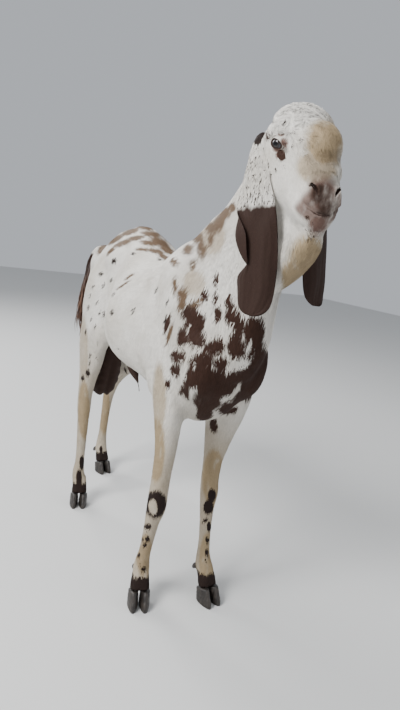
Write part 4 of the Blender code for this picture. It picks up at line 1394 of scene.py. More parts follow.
    def open_lids(self, points: Array, side: Side) -> None:
        """Opens the lids of one eye over the eyeball.

        Args:
            points: the points, in the drawing frame.
            side: which side of the head.
        """
        eye = EyeFrame.of(self.stance, side)
        away = points - np.array(eye.centre)
        near = np.flatnonzero(np.linalg.norm(away, axis=1) < 0.036)
        away = away[near]
        look, long_way, over = (np.array(axis) for axis in (eye.look, eye.long_way, eye.over))
        a, b, z = away @ long_way, away @ over, away @ look
        front = z > 0.003
        ratio = np.hypot(a / LID_SPAN[0], b / np.where(b > 0, LID_SPAN[1], LID_SPAN[2]))
        flat = a * a + b * b
        ball = np.sqrt(np.clip(EYE_RADIUS**2 - flat, 0, None))
        thick = 0.0003 + (self.lid_thickness - 0.0003) * ramp(1.0, 1.28, ratio)
        lid = np.sqrt(np.clip((EYE_RADIUS + thick) ** 2 - flat, 0, None))
        behind = ball - 0.0035
        shelf = np.maximum(lid, z)
        blend = ramp(1.35, 2.1, ratio)
        covered = lid * (1 - blend) + shelf * blend
        edge = ramp(0.93, 1.01, ratio)
        target = behind * (1 - edge) + covered * edge
        target = np.where(flat > (EYE_RADIUS + self.lid_thickness) ** 2, z, target)
        fold = np.where(b > 0, 0.0022, 0.0013) * np.exp(-(((ratio - 1.80) / 0.16) ** 2))
        fold = fold + 0.0008 * (b < 0) * np.exp(-(((ratio - 2.35) / 0.14) ** 2))
        margin = 0.0005 * np.exp(-(((ratio - 1.32) / 0.14) ** 2))
        move = np.where(front, target - z - fold + margin, 0.0)
        points[near] += look * move[:, None]


# The coat

# How the hair lies, as (place, direction) in the drawing frame, for the right side and mirrored
LIE_GUIDES = (
    ((0.00, -0.47, 0.68), (0.0, -0.1, -1.0)),
    ((-0.06, -0.42, 0.80), (-0.1, 0.15, -1.0)),
    ((0.00, -0.48, 0.85), (0.0, -0.05, -1.0)),
    ((0.00, -0.33, 0.98), (0.0, 0.50, -0.85)),
    ((-0.06, -0.40, 0.92), (0.0, 0.30, -0.95)),
    ((-0.05, -0.47, 1.00), (0.0, 0.25, -0.97)),
    ((-0.11, -0.30, 0.74), (0.0, 0.30, -0.95)),
    ((-0.11, -0.30, 0.62), (0.0, 0.15, -1.0)),
    ((0.00, -0.22, 0.91), (0.0, 0.90, -0.40)),
    ((-0.10, -0.12, 0.80), (0.0, 0.75, -0.66)),
    ((-0.14, 0.00, 0.70), (0.0, 0.80, -0.60)),
    ((-0.12, 0.00, 0.58), (0.0, 0.95, -0.30)),
    ((0.00, -0.05, 0.88), (0.0, 1.0, 0.05)),
    ((0.00, 0.12, 0.93), (0.0, 1.0, -0.05)),
    ((0.00, 0.00, 0.53), (0.0, 1.0, 0.0)),
    ((0.00, 0.30, 0.88), (0.0, 0.85, -0.50)),
    ((-0.10, 0.18, 0.76), (0.0, 0.60, -0.80)),
    ((-0.08, 0.28, 0.68), (0.0, 0.25, -0.97)),
    ((-0.06, 0.38, 0.74), (0.0, 0.10, -1.0)),
    ((-0.09, 0.18, 0.58), (0.0, 0.25, -0.97)),
    ((-0.085, -0.32, 0.45), (0.0, 0.05, -1.0)),
    ((-0.085, -0.31, 0.25), (0.0, 0.0, -1.0)),
    ((-0.085, -0.30, 0.08), (0.0, -0.15, -1.0)),
    ((-0.085, 0.25, 0.45), (0.0, 0.2, -1.0)),
    ((-0.085, 0.25, 0.25), (0.0, 0.0, -1.0)),
    ((-0.085, 0.25, 0.08), (0.0, -0.15, -1.0)),
    ((0.085, 0.42, 0.40), (0.0, 0.2, -1.0)),
    ((0.085, 0.46, 0.15), (0.0, 0.0, -1.0)),
    ((0.00, -0.56, 0.90), (0.0, 0.10, -1.0)),
    ((0.00, 0.45, 0.72), (0.0, 0.0, -1.0)),
)
WHORL = (0.025, 0.061, 0.0)


@dataclass(frozen=True)
class TuftSize:
    """The tufts of one part of the body: length, width, rise of the tip, and how many a square metre."""

    length: float
    width: float
    rise: float
    crowd: float


class Region(Enum):
    """The parts of the body that differ in coat."""

    TRUNK = TuftSize(0.0150, 0.0015, 0.0006, 105000)
    NECK = TuftSize(0.0185, 0.0016, 0.0009, 98000)
    LEG = TuftSize(0.0090, 0.0011, 0.0006, 145000)
    FACE = TuftSize(0.0065, 0.0009, 0.0003, 250000)
    EAR = TuftSize(0.0080, 0.0009, 0.0006, 210000)
    HIDE = TuftSize(0.0030, 0.0005, 0.0004, 9000)
    MUZZLE = TuftSize(0.0032, 0.0006, 0.0004, 160000)


@dataclass
class Coat:
    """The short coat as small flat tufts that follow the lie of the hair over the skin."""

    stance: Stance
    ears: Ears
    markings: Markings
    skin: bpy.types.Object
    piece_limit: int = 32000
    sunk: float = 0.0005
    jitter: float = 0.16
    roundness: float = 0.25
    patch: float = 0.003

    def __post_init__(self) -> None:
        """Reads the skin once for all pieces of coat."""
        mesh = self.skin.data
        mesh.calc_loop_triangles()
        self.points = points_of(mesh)
        self.normals = normals_of(mesh)
        corners = np.empty(len(mesh.loop_triangles) * 3, np.int32)
        mesh.loop_triangles.foreach_get("vertices", corners)
        self.triangles = corners.reshape(-1, 3)
        self.surface = BVHTree.FromPolygons(self.points.tolist(), self.triangles.tolist())
        self.rng = np.random.default_rng(SEED)

    def lie(self, points: Array, normals: Array, ears: EarPlaces) -> Array:
        """The direction in which the hair lies at some points, along the surface.

        Args:
            points: the points, in the drawing frame.
            normals: the surface's normals there.
            ears: where the points lie on the ears.

        Returns:
            Unit directions.
        """
        total = np.zeros_like(points)
        for place, direction in LIE_GUIDES:
            for sign in (-1, 1):
                spot = np.array(place) * (sign, 1, 1)
                weight = 1 / (np.sum((points - spot) ** 2, axis=1) + 4e-4) ** 1.5
                total += weight[:, None] * np.array(direction) * (sign, 1, 1)
        body = unit(total)
        head = self.stance.in_head(points)
        radial = head - np.array(WHORL)
        radial[:, 1] *= 0.6
        radial[:, 0] += 0.4 * np.maximum(radial[:, 0], 0)
        swirl = np.stack([-radial[:, 2], np.zeros(len(head)), radial[:, 0]], axis=1)
        near_whorl = np.exp(-((np.linalg.norm(radial, axis=1) / 0.03) ** 2))
        face = unit(unit(radial) + 0.8 * swirl / 0.03 * near_whorl[:, None]) @ self.stance.axes
        high = ramp(0.93, 0.96, points[:, 2])
        on_head = ramp(-0.04, 0.01, head[:, 0]) * high * ramp(-0.07, -0.03, head[:, 1])
        direction = body * (1 - on_head[:, None]) + face * on_head[:, None]
        direction = np.where(ears.on_ear[:, None], np.array((0.0, 0.0, -1.0)), direction)
        direction -= normals * np.sum(direction * normals, axis=1)[:, None]
        return unit(direction)

    def sizes(self, points: Array, ears: EarPlaces) -> dict[str, Array]:
        """The size and crowding of tufts at some points.

        Args:
            points: the points, in the drawing frame.
            ears: where the points lie on the ears.

        Returns:
            One array for each size.
        """
        head = self.stance.in_head(points)
        on_head = ramp(-0.02, 0.03, head[:, 0]) * ramp(0.92, 0.96, points[:, 2])
        leg = 1 - ramp(0.34, 0.56, points[:, 2])
        neck = ramp(0.28, 0.36, -points[:, 1]) * ramp(0.55, 0.66, points[:, 2])
        nose = ramp(0.185, 0.205, head[:, 0]) * ramp(0.005, 0.020, head[:, 1]) * on_head
        bare = ears.on_ear & (ears.down > ears.dark_from - 0.01)
        bag = Markings.on_bag(points) | Markings.on_sheath(points) & (points[:, 2] < 0.515)
        found = {}
        for name in ("length", "width", "rise", "crowd"):
            trunk, throat, shin, face, ear, hide, muzzle = (getattr(region.value, name) for region in Region)
            value = trunk + (throat - trunk) * neck
            value = value + (shin - value) * leg
            value = value + (face - value) * on_head
            value = value + (muzzle - value) * nose
            value = np.where(ears.on_ear, ear, value)
            value = np.where(bare | bag, hide, value)
            found[name] = value
        return found

    def scatter(self, thinning: float) -> tuple[Array, Array]:
        """Places for tufts, crowded as each part of the body needs.

        Args:
            thinning: the share of the full count that is kept.

        Returns:
            The roots and the normals there.
        """
        a, b, c = (self.points[self.triangles[:, index]] for index in range(3))
        middle = (a + b + c) / 3
        area = np.linalg.norm(np.cross(b - a, c - a), axis=1) / 2
        crowd = self.sizes(middle, self.ears.places(middle))["crowd"] * self.allowed(middle)
        share = np.cumsum(area * crowd)
        count = int(share[-1] * thinning)
        chosen = np.searchsorted(share, self.rng.random(count) * share[-1])
        u, v = self.rng.random((2, count))
        over = u + v > 1
        u[over], v[over] = 1 - u[over], 1 - v[over]
        picked = self.triangles[chosen]
        weights = np.stack([1 - u - v, u, v], axis=1)
        roots = np.einsum("ij,ijk->ik", weights, self.points[picked])
        normals = unit(np.einsum("ij,ijk->ik", weights, self.normals[picked]))
        return roots, normals

    def allowed(self, points: Array) -> Array:
        """Keeps tufts off the eyeballs, nostrils, lips and the tip of the sheath.

        Args:
            points: the points, in the drawing frame.

        Returns:
            1 where a tuft may grow, and 0 elsewhere.
        """
        keep = np.ones(len(points))
        for side in Side:
            eye = EyeFrame.of(self.stance, side)
            keep[np.linalg.norm(points - np.array(eye.centre), axis=1) < EYE_RADIUS + 0.0034] = 0
            spots = tuple((a, o, side.value * s) for a, o, s, _ in NOSTRIL_LINE)
            keep[along_line(points, self.stance.head_line(spots))[0] < 0.0048] = 0
        keep[along_line(points, self.stance.head_line(MOUTH_LINE))[0] < 0.0026] = 0
        keep[Markings.on_sheath(points) & (points[:, 2] < 0.488)] = 0
        keep[points[:, 2] < 0.030] = 0
        return keep

    def follow(self, spots: Array, lift: Array) -> tuple[Array, Array]:
        """Brings points back over the skin at a height.

        Args:
            spots: points near the skin.
            lift: the height each should have above it.

        Returns:
            The lifted points and the normals there.
        """
        found = np.empty_like(spots)
        normals = np.empty_like(spots)
        nearest = self.surface.find_nearest
        for index, spot in enumerate(spots.tolist()):
            place, normal, _, _ = nearest(spot)
            found[index] = place
            normals[index] = normal
        return found + normals * lift[:, None], normals

    def build(self, unwrap: "Unwrap") -> list[bpy.types.Object]:
        """All pieces of the short coat, in the drawing frame.

        Args:
            unwrap: the skin's unwrap, for the bake.

        Returns:
            What it builds.
        """
        thinning = 1.0
        roots, normals = self.scatter(thinning)
        ears = self.ears.places(roots)
        size = self.sizes(roots, ears)
        marks = self.markings.read(roots, normals, ears)
        lies = self.lie(roots, normals, ears)
        count = len(roots)
        turn = self.rng.normal(0.0, self.jitter, count)[:, None]
        lies = unit(lies * np.cos(turn) + np.cross(normals, lies) * np.sin(turn))
        length = size["length"] * self.rng.uniform(0.7, 1.25, count)
        rise = size["rise"] * self.rng.uniform(0.5, 1.5, count)
        middle, middle_normals = self.follow(roots + lies * (length * 0.45)[:, None], rise * 0.62)
        ahead = unit(middle - roots)
        tips, _ = self.follow(middle + ahead * (length * 0.55)[:, None], rise)
        across = unit(np.cross(middle_normals, ahead)) * (size["width"] * 0.5)[:, None]
        ridge = middle_normals * (size["width"] * 0.20)[:, None]
        rings = np.stack(
            [roots - normals * self.sunk, middle - across, middle + across, middle + ridge, tips], axis=1
        )
        tone = np.clip(self.rng.normal(0.5, 0.2, count), 0, 1)
        side = unit(across) * self.roundness
        shading = np.stack(
            [
                normals, middle_normals - side, middle_normals + side,
                middle_normals, middle_normals + ahead * 0.2,
            ],
            axis=1,
        )
        made = []
        order = self.groups(roots, ears)
        for name, chosen in order:
            for start in range(0, len(chosen), self.piece_limit):
                part = chosen[start : start + self.piece_limit]
                label = f"coat_{name}_{start // self.piece_limit + 1}"
                piece_marks = {mark: values[part] for mark, values in marks.items()}
                made.append(
                    self.piece(
                        label, rings[part], shading[part], roots[part], piece_marks, tone[part], unwrap
                    )
                )
        return made

    def groups(self, roots: Array, ears: EarPlaces) -> list[tuple[str, Array]]:
        """The parts of the body that each piece of coat covers.

        Args:
            roots: where the tufts grow.
            ears: where the points lie on the ears.

        Returns:
            Each part's name and its tufts.
        """
        head = self.stance.in_head(roots)
        on_head = (head[:, 0] > -0.01) & (roots[:, 2] > 0.93) & ~ears.on_ear
        leg = (roots[:, 2] < 0.48) & ~ears.on_ear
        front = roots[:, 1] < -0.24
        label = np.where(front, 0, 1)
        label = np.where((label == 1) & (roots[:, 0] > 0), 2, label)
        label = np.where(leg & (roots[:, 1] < 0), 3, label)
        label = np.where(leg & (roots[:, 1] >= 0), 4, label)
        label = np.where(on_head, 5, label)
        label = np.where(ears.on_ear, 6, label)
        names = ("neck", "trunk_right", "trunk_left", "fore_legs", "hind_legs", "head", "ears")
        return [(name, np.flatnonzero(label == index)) for index, name in enumerate(names)]

    def piece(
        self,
        name: str,
        rings: Array,
        shading: Array,
        roots: Array,
        marks: dict[Mark, Array],
        tone: Array,
        unwrap: "Unwrap",
    ) -> bpy.types.Object:
        """One piece of coat as a joined mesh of closed slivers of five points and six faces.

        Args:
            name: the piece's name.
            rings: five points a tuft: root, left, right, ridge and tip.
            shading: the way each point faces in the light.
            roots: where the tufts grow.
            marks: the markings at the roots.
            tone: how light each tuft is.
            unwrap: the skin's unwrap, for the bake.

        Returns:
            The piece.
        """
        count = len(rings)
        faces = np.array([(0, 1, 2), (0, 2, 3), (0, 3, 1), (4, 2, 1), (4, 3, 2), (4, 1, 3)])
        spokes = rings[0, 1:4] - rings[0, 0]
        if np.linalg.det(spokes) > 0:
            faces = faces[:, ::-1]
        corners = (faces[None] + 5 * np.arange(count)[:, None, None]).reshape(-1)
        patch = np.array([(0, -0.5), (-0.35, 0), (0.35, 0), (0, 0.1), (0, 0.5)]) * self.patch
        places = unwrap.places(roots)
        flat = places[:, None, :] + patch[None]
        points, facing = rings.reshape(-1, 3), shading.reshape(-1, 3)
        return mesh_piece(name, points, facing, corners, flat.reshape(-1, 2), roots, marks, tone, 5)


def mesh_piece(
    name: str,
    points: Array,
    facing: Array,
    corners: Array,
    flat: Array,
    roots: Array,
    marks: dict[Mark, Array],
    tone: Array,
    each: int,
) -> bpy.types.Object:
    """Joins many small triangle shapes in one mesh with their markings and bake map.

    Args:
        name: the piece's name.
        points: all points.
        facing: the way each point faces in the light.
        corners: the point numbers of the triangles, three by three.
        flat: the bake map's place of each point.
        roots: where each shape grows.
        marks: the markings at the roots.
        tone: how light each shape is.
        each: how many points a shape has.

    Returns:
        The piece, in the drawing frame.
    """
    mesh = bpy.data.meshes.new(name)
    mesh.vertices.add(len(points))
    mesh.vertices.foreach_set("co", points.astype(np.float32).ravel())
    mesh.loops.add(len(corners))
    mesh.loops.foreach_set("vertex_index", corners.astype(np.int32))
    starts = np.arange(0, len(corners), 3, dtype=np.int32)
    mesh.polygons.add(len(starts))
    mesh.polygons.foreach_set("loop_start", starts)
    mesh.update(calc_edges=True)
    mesh.shade_smooth()
    mesh.normals_split_custom_set_from_vertices(unit(facing))
    chart = mesh.uv_layers.new(name="OFBake")
    chart.data.foreach_set("uv", flat[corners].astype(np.float32).ravel())
    store(mesh, "Root", np.repeat(roots, each, axis=0))
    store(mesh, "Tone", np.repeat(tone, each))
    for mark, values in marks.items():
        store(mesh, mark.value, np.repeat(values, each))
    made = bpy.data.objects.new(name, mesh)
    bpy.context.scene.collection.objects.link(made)
    return made


class Unwrap:
    """A flat chart of the skin's own shape, read at any point near it."""

    def __init__(self, skin: bpy.types.Object, faces: int = 9000) -> None:
        """Thins a copy of the skin and unwraps it.

        Args:
            skin: the skin, in the drawing frame.
            faces: about how many faces the copy keeps.
        """
        copy = skin.copy()
        copy.data = skin.data.copy()
        bpy.context.scene.collection.objects.link(copy)
        thin = copy.modifiers.new("thin", "DECIMATE")
        thin.ratio = faces / max(len(copy.data.polygons) * 2, 1)
        thin.use_collapse_triangulate = True
        settled(copy)
        bpy.context.view_layer.objects.active = copy
        for other in bpy.context.selected_objects:
            other.select_set(False)
        copy.select_set(True)
        bpy.ops.object.mode_set(mode="EDIT")
        bpy.ops.mesh.select_all(action="SELECT")
        bpy.ops.uv.smart_project(angle_limit=math.radians(66), island_margin=0.002)
        bpy.ops.object.mode_set(mode="OBJECT")
        mesh = copy.data
        chart = mesh.uv_layers.active.data
        self.corners = [tuple(mesh.vertices[i].co.copy() for i in face.vertices) for face in mesh.polygons]
        self.flat = [
            tuple(Vector((*chart[loop].uv, 0.0)) for loop in face.loop_indices) for face in mesh.polygons
        ]
        points = [vert.co.copy() for vert in mesh.vertices]
        self.tree = BVHTree.FromPolygons(points, [tuple(face.vertices) for face in mesh.polygons])
        bpy.data.objects.remove(copy)

    def places(self, points: Array) -> Array:
        """The places on the chart of points near the skin.

        Args:
            points: the points, in the drawing frame.

        Returns:
            One place on the unwrap for each point.
        """
        found = np.empty((len(points), 2))
        for index, point in enumerate(points.tolist()):
            spot, _, face, _ = self.tree.find_nearest(point)
            flat = barycentric_transform(spot, *self.corners[face], *self.flat[face])
            found[index] = flat[:2]
        return found


@dataclass(frozen=True)
class Fleece:
    """One kind of longer hair: how many locks, their size, how far they curl and where they grow."""

    name: str
    count: int
    length: float
    width: float
    lift: float
    swing: float
    turns: float
    flow: float
    low: Row
    high: Row


@dataclass
class Wool:
    """Curled locks on the forehead and the soft wool of the domed nose."""

    coat: Coat
    sections: int = 5
    ripple: float = 0.030
    eye_gap: float = 0.026
    kinds: tuple[Fleece, ...] = (
        Fleece(
            "wool_forehead", 4300, 0.020, 0.0012, 0.0020, 0.0013, 0.9, 0.85,
            (-0.032, 0.028, -0.058), (0.070, 0.120, 0.058),
        ),
        Fleece(
            "wool_nose", 4400, 0.0125, 0.0009, 0.0008, 0.0005, 0.7, 0.42,
            (0.062, 0.058, -0.042), (0.170, 0.130, 0.042),
        ),
    )

    def build(self, unwrap: Unwrap) -> list[bpy.types.Object]:
        """The two pieces of wool, in the drawing frame."""
        return [self.locks(kind, unwrap) for kind in self.kinds]

    def flow(self, points: Array) -> Array:
        """A smooth angle that turns neighbouring hairs together into waves and curls.

        Args:
            points: the points, in the drawing frame.

        Returns:
            The angle.
        """
        k = 2 * math.pi / self.ripple
        x, y, z = (points * k).T
        first = np.sin(0.9 * x + 1.3 * np.sin(0.7 * z + 0.4))
        return first + np.sin(0.8 * z + 1.1 * np.sin(0.8 * y + 1.9) + 0.5 * x)

    def locks(self, kind: Fleece, unwrap: Unwrap) -> bpy.types.Object:
        """One piece of curled locks.

        Args:
            kind: what hair it has and where.
            unwrap: the skin's unwrap, for the bake.

        Returns:
            The piece.
        """
        coat, rng, count = self.coat, self.coat.rng, kind.count
        middle = coat.points[coat.triangles].mean(axis=1)
        head = coat.stance.in_head(middle)
        inside = np.all((head > kind.low) & (head < kind.high), axis=1) & (middle[:, 2] > 0.95)
        inside &= ~coat.ears.places(middle).on_ear & (coat.allowed(middle) > 0)
        for side in Side:
            eye = np.array(EyeFrame.of(coat.stance, side).centre)
            inside &= np.linalg.norm(middle - eye, axis=1) > self.eye_gap
        a, b, c = (coat.points[coat.triangles[:, index]] for index in range(3))
        area = np.linalg.norm(np.cross(b - a, c - a), axis=1) * inside
        chosen = rng.choice(len(area), count, p=area / area.sum())
        mix = rng.dirichlet((1, 1, 1), count)
        corners = coat.triangles[chosen]
        roots = np.einsum("ij,ijk->ik", mix, coat.points[corners])
        normals = unit(np.einsum("ij,ijk->ik", mix, coat.normals[corners]))
        places = coat.ears.places(roots)
        length = kind.length * rng.uniform(0.65, 1.3, count) / self.sections
        phase = 2.5 * self.flow(roots * 1.7) + rng.normal(0, 0.5, count)
        stray = rng.normal(0.0, 0.22, count)
        lift = kind.lift * rng.uniform(0.3, 1.5, count)
        spots, over = roots.copy(), normals
        rings, facing = [roots - normals * coat.sunk], [normals]
        for step in range(1, self.sections + 1):
            t = step / self.sections
            heading = coat.lie(spots, over, places)
            turn = (kind.flow * self.flow(spots) + stray)[:, None]
            heading = unit(heading * np.cos(turn) + np.cross(over, heading) * np.sin(turn))
            raised, over = coat.follow(
                spots + heading * length[:, None], lift * math.sin(math.pi * min(t, 0.8)) + 0.0004
            )
            side = unit(np.cross(over, unit(raised - spots)))
            spots = raised
            angle = phase + 2 * math.pi * kind.turns * t
            bent = raised + side * (kind.swing * np.sin(angle) * t)[:, None]
            bent += over * (kind.swing * 0.6 * (1 + np.cos(angle)) * t)[:, None]
            if step == self.sections:
                rings.append(bent)
                facing.append(over)
                continue
            size = kind.width * 0.5 * (1 - 0.5 * t)
            rings += [bent - side * size, bent + side * size, bent + over * size * 0.7]
            facing += [over - side * 0.6, over + side * 0.6, over]
        shaped, shading = np.stack(rings, axis=1), np.stack(facing, axis=1)
        each = shaped.shape[1]
        faces = self.faces(each)
        if np.linalg.det(shaped[0, 1:4] - shaped[0, 0]) > 0:
            faces = faces[:, ::-1]
        index = (faces[None] + each * np.arange(count)[:, None, None]).reshape(-1)
        down = np.stack([np.zeros(each), np.linspace(-0.5, 0.5, each) * coat.patch], axis=1)
        flat = (unwrap.places(roots)[:, None, :] + down[None]).reshape(-1, 2)
        marks = coat.markings.read(roots, normals, places)
        tone = np.clip(rng.normal(0.62, 0.2, count), 0, 1)
        points, normals = shaped.reshape(-1, 3), shading.reshape(-1, 3)
        return mesh_piece(kind.name, points, normals, index, flat, roots, marks, tone, each)

    def faces(self, each: int) -> Array:
        """The triangles of one lock: a root, rings of three, and a tip.

        Args:
            each: how many points a lock has.

        Returns:
            Three point numbers a triangle.
        """
        made = [(0, 1, 2), (0, 2, 3), (0, 3, 1)]
        for start in range(1, each - 4, 3):
            for index in range(3):
                a, b = start + index, start + (index + 1) % 3
                made += [(a, a + 3, b), (b, a + 3, b + 3)]
        tip, last = each - 1, each - 4
        made += [(tip, last + 1, last), (tip, last + 2, last + 1), (tip, last, last + 2)]
        return np.array(made)


# The tail's brush


@dataclass
class Brush:
    """The long coarse hair that hangs from the dock of the tail."""

    count: int = 150
    start: float = 0.30
    length: float = 0.125
    width: float = 0.0042
    sections: int = 8

    def build(self) -> bpy.types.Object:
        """The brush as overlapping tapered locks, in the drawing frame.

        Returns:
            What it builds.
        """
        rng = random.Random(SEED)
        rows = np.array(TAIL_SECTIONS)
        bm = bmesh.new()
        for index in range(self.count):
            t = self.start + (0.99 - self.start) * (index + rng.random()) / self.count
            core = spline(rows, t)
            around = index * 2.4 + rng.uniform(-0.4, 0.4)
            lean = Vector((math.cos(around), math.sin(around), 0.0))
            origin = Vector(core[:3]) + lean * float(core[3]) * 0.55
            reach = self.length * rng.uniform(0.65, 1.12) * (0.55 + 0.5 * t)
            sway = Vector((rng.uniform(-0.012, 0.012), rng.uniform(-0.012, 0.006), 0.0))
            sections = []
            for step in range(self.sections + 1):
                s = step / self.sections
                spot = origin + Vector((0, 0, -reach * s)) + lean * (reach * (0.30 * s - 0.27 * s * s))
                spot += sway * s * s + lean * 0.0016 * math.sin(7 * s + around)
                size = max(0.06, math.sin(math.pi * min(0.5, 0.18 + s)) * (1 - s) ** 0.55)
                thick = self.width * 0.42 * size
                sections.append((*spot, self.width * size, thick, thick))
            add_tube(bm, tuple(sections), lean, self.sections, 4)
        return object_from(bm, "tail_brush")


# Feet


@dataclass(frozen=True)
class Foot:
    """Where a foot stands, which way its toes point, and which leg it ends."""

    name: str
    x: float
    y: float
    turn_out: float
    coronet_height: float = 0.036
    coronet_fall: float = 0.32
    claw_across: float = 0.0148
    claw_point: float = 0.30

    def ahead(self) -> Vector:
        """The way that the toes point."""
        turn = math.radians(self.turn_out) * (1 if self.x > 0 else -1)
        return Vector((math.sin(turn), -math.cos(turn), 0.0))

    def place(self, across: float, ahead: float, height: float) -> Vector:
        """A point of the foot: across its cleft, ahead of its centre, above the floor.

        Args:
            across: how far across.
            ahead: how far ahead.
            height: how high.

        Returns:
            The point.
        """
        toes = self.ahead()
        to_left = Vector((-toes.y, toes.x, 0.0))
        return Vector((self.x, self.y, 0.0)) + to_left * across + toes * ahead + UP * height

    def claw(self, side: int, label: str) -> bpy.types.Object:
        """One horn claw with its growth rings, flat on the floor and cut to the coronet's slope.

        Args:
            side: -1 or 1 across the cleft.
            label: inner or outer.

        Returns:
            The claw, in the drawing frame.
        """
        bm = bmesh.new()
        rows = []
        for height, ahead, width, toe, heel in CLAW_SECTIONS:
            rows.append((*self.place(side * self.claw_across, ahead, height), width, toe, heel))
        add_tube(bm, tuple(rows), self.ahead(), 34, 36, 2.4, self.claw_point)
        normal = (UP - self.ahead() * self.coronet_fall).normalized()
        top = self.place(0, 0, self.coronet_height) - normal * 0.0004
        for point, way in ((top, normal), (Vector(), Vector((0, 0, -1)))):
            whole = [*bm.verts, *bm.edges, *bm.faces]
            cut = bmesh.ops.bisect_plane(
                bm, geom=whole, dist=1e-6, plane_co=point, plane_no=way, clear_outer=True
            )["geom_cut"]
            rim = [edge for edge in cut if isinstance(edge, bmesh.types.BMEdge) and edge.is_boundary]
            bmesh.ops.triangle_fill(bm, edges=rim, use_beauty=True, normal=way)
        bm.normal_update()
        for vert in bm.verts:
            depth = (top - vert.co).dot(normal)
            if vert.co.z > 0.001 and depth > 0.001:
                ring = 0.00030 * math.sin(depth * 1900) * min(1.0, depth / 0.004)
                vert.co += vert.normal * ring
                vert.co.z = max(vert.co.z, 0.0)
        bmesh.ops.recalc_face_normals(bm, faces=bm.faces)
        return object_from(bm, f"{self.name}_{label}_claw")

    def dewclaws(self) -> bpy.types.Object:
        """The two small horn knobs behind the fetlock.

        Returns:
            The two dewclaws.
        """
        bm = bmesh.new()
        for side in (-1, 1):
            root = self.place(side * DEWCLAW_ROOT[0], *DEWCLAW_ROOT[1:])
            tip = self.place(side * DEWCLAW_TIP[0], *DEWCLAW_TIP[1:])
            middle = root.lerp(tip, 0.6) + UP * 0.002
            thick, thin = (0.0074, 0.0076, 0.0076), (0.0040, 0.0044, 0.0044)
            rows = ((*root, *thick), (*middle, *thick), (*tip, *thin))
            add_tube(bm, rows, UP, 10, 16)
        return object_from(bm, f"{self.name}_dewclaws")


CLAW_SECTIONS = (
    (0.062, -0.012, 0.0112, 0.0170, 0.0180),
    (0.044, -0.006, 0.0124, 0.0210, 0.0180),
    (0.022, 0.002, 0.0132, 0.0275, 0.0205),
    (0.004, 0.007, 0.0132, 0.0330, 0.0215),
    (0.000, 0.007, 0.0126, 0.0325, 0.0210),
)
DEWCLAW_ROOT = (0.0110, -0.038, 0.078)
DEWCLAW_TIP = (0.0145, -0.054, 0.063)
FEET = (
    Foot("fore_right", -0.087, -0.304, 20),
    Foot("fore_left", 0.088, -0.350, 4),
    Foot("hind_right", -0.080, 0.214, 18),
    Foot("hind_left", 0.083, 0.434, 6),
)


# Eyes


@dataclass
class Eye:
    """One eyeball with its iris and level pupil told apart by a stored gaze."""

    stance: Stance
    side: Side
    radius: float = EYE_RADIUS - 0.0002
    cornea_rise: float = 0.0009

    def build(self) -> bpy.types.Object:
        """The eyeball, in the drawing frame, with the place of each point in the gaze's own axes.

        Returns:
            What it builds.
        """
        eye = EyeFrame.of(self.stance, self.side)
        bm = bmesh.new()
        turn = Matrix((eye.long_way, eye.over, eye.look)).transposed().to_4x4()
        bmesh.ops.create_uvsphere(bm, u_segments=64, v_segments=48, radius=self.radius)
        gaze = []
        for vert in bm.verts:
            unit_place = vert.co.normalized()
            spread = math.acos(max(-1.0, min(1.0, unit_place.z)))
            vert.co += unit_place * (self.cornea_rise * math.exp(-((spread / 0.62) ** 4)))
            gaze.append(tuple(unit_place))
        bmesh.ops.transform(bm, verts=bm.verts, matrix=Matrix.Translation(eye.centre) @ turn)
        bmesh.ops.recalc_face_normals(bm, faces=bm.faces)
        made = object_from(bm, f"eyeball_{self.side.name.lower()}")
        store(made.data, "Gaze", np.array(gaze))
        return made


# Finishes


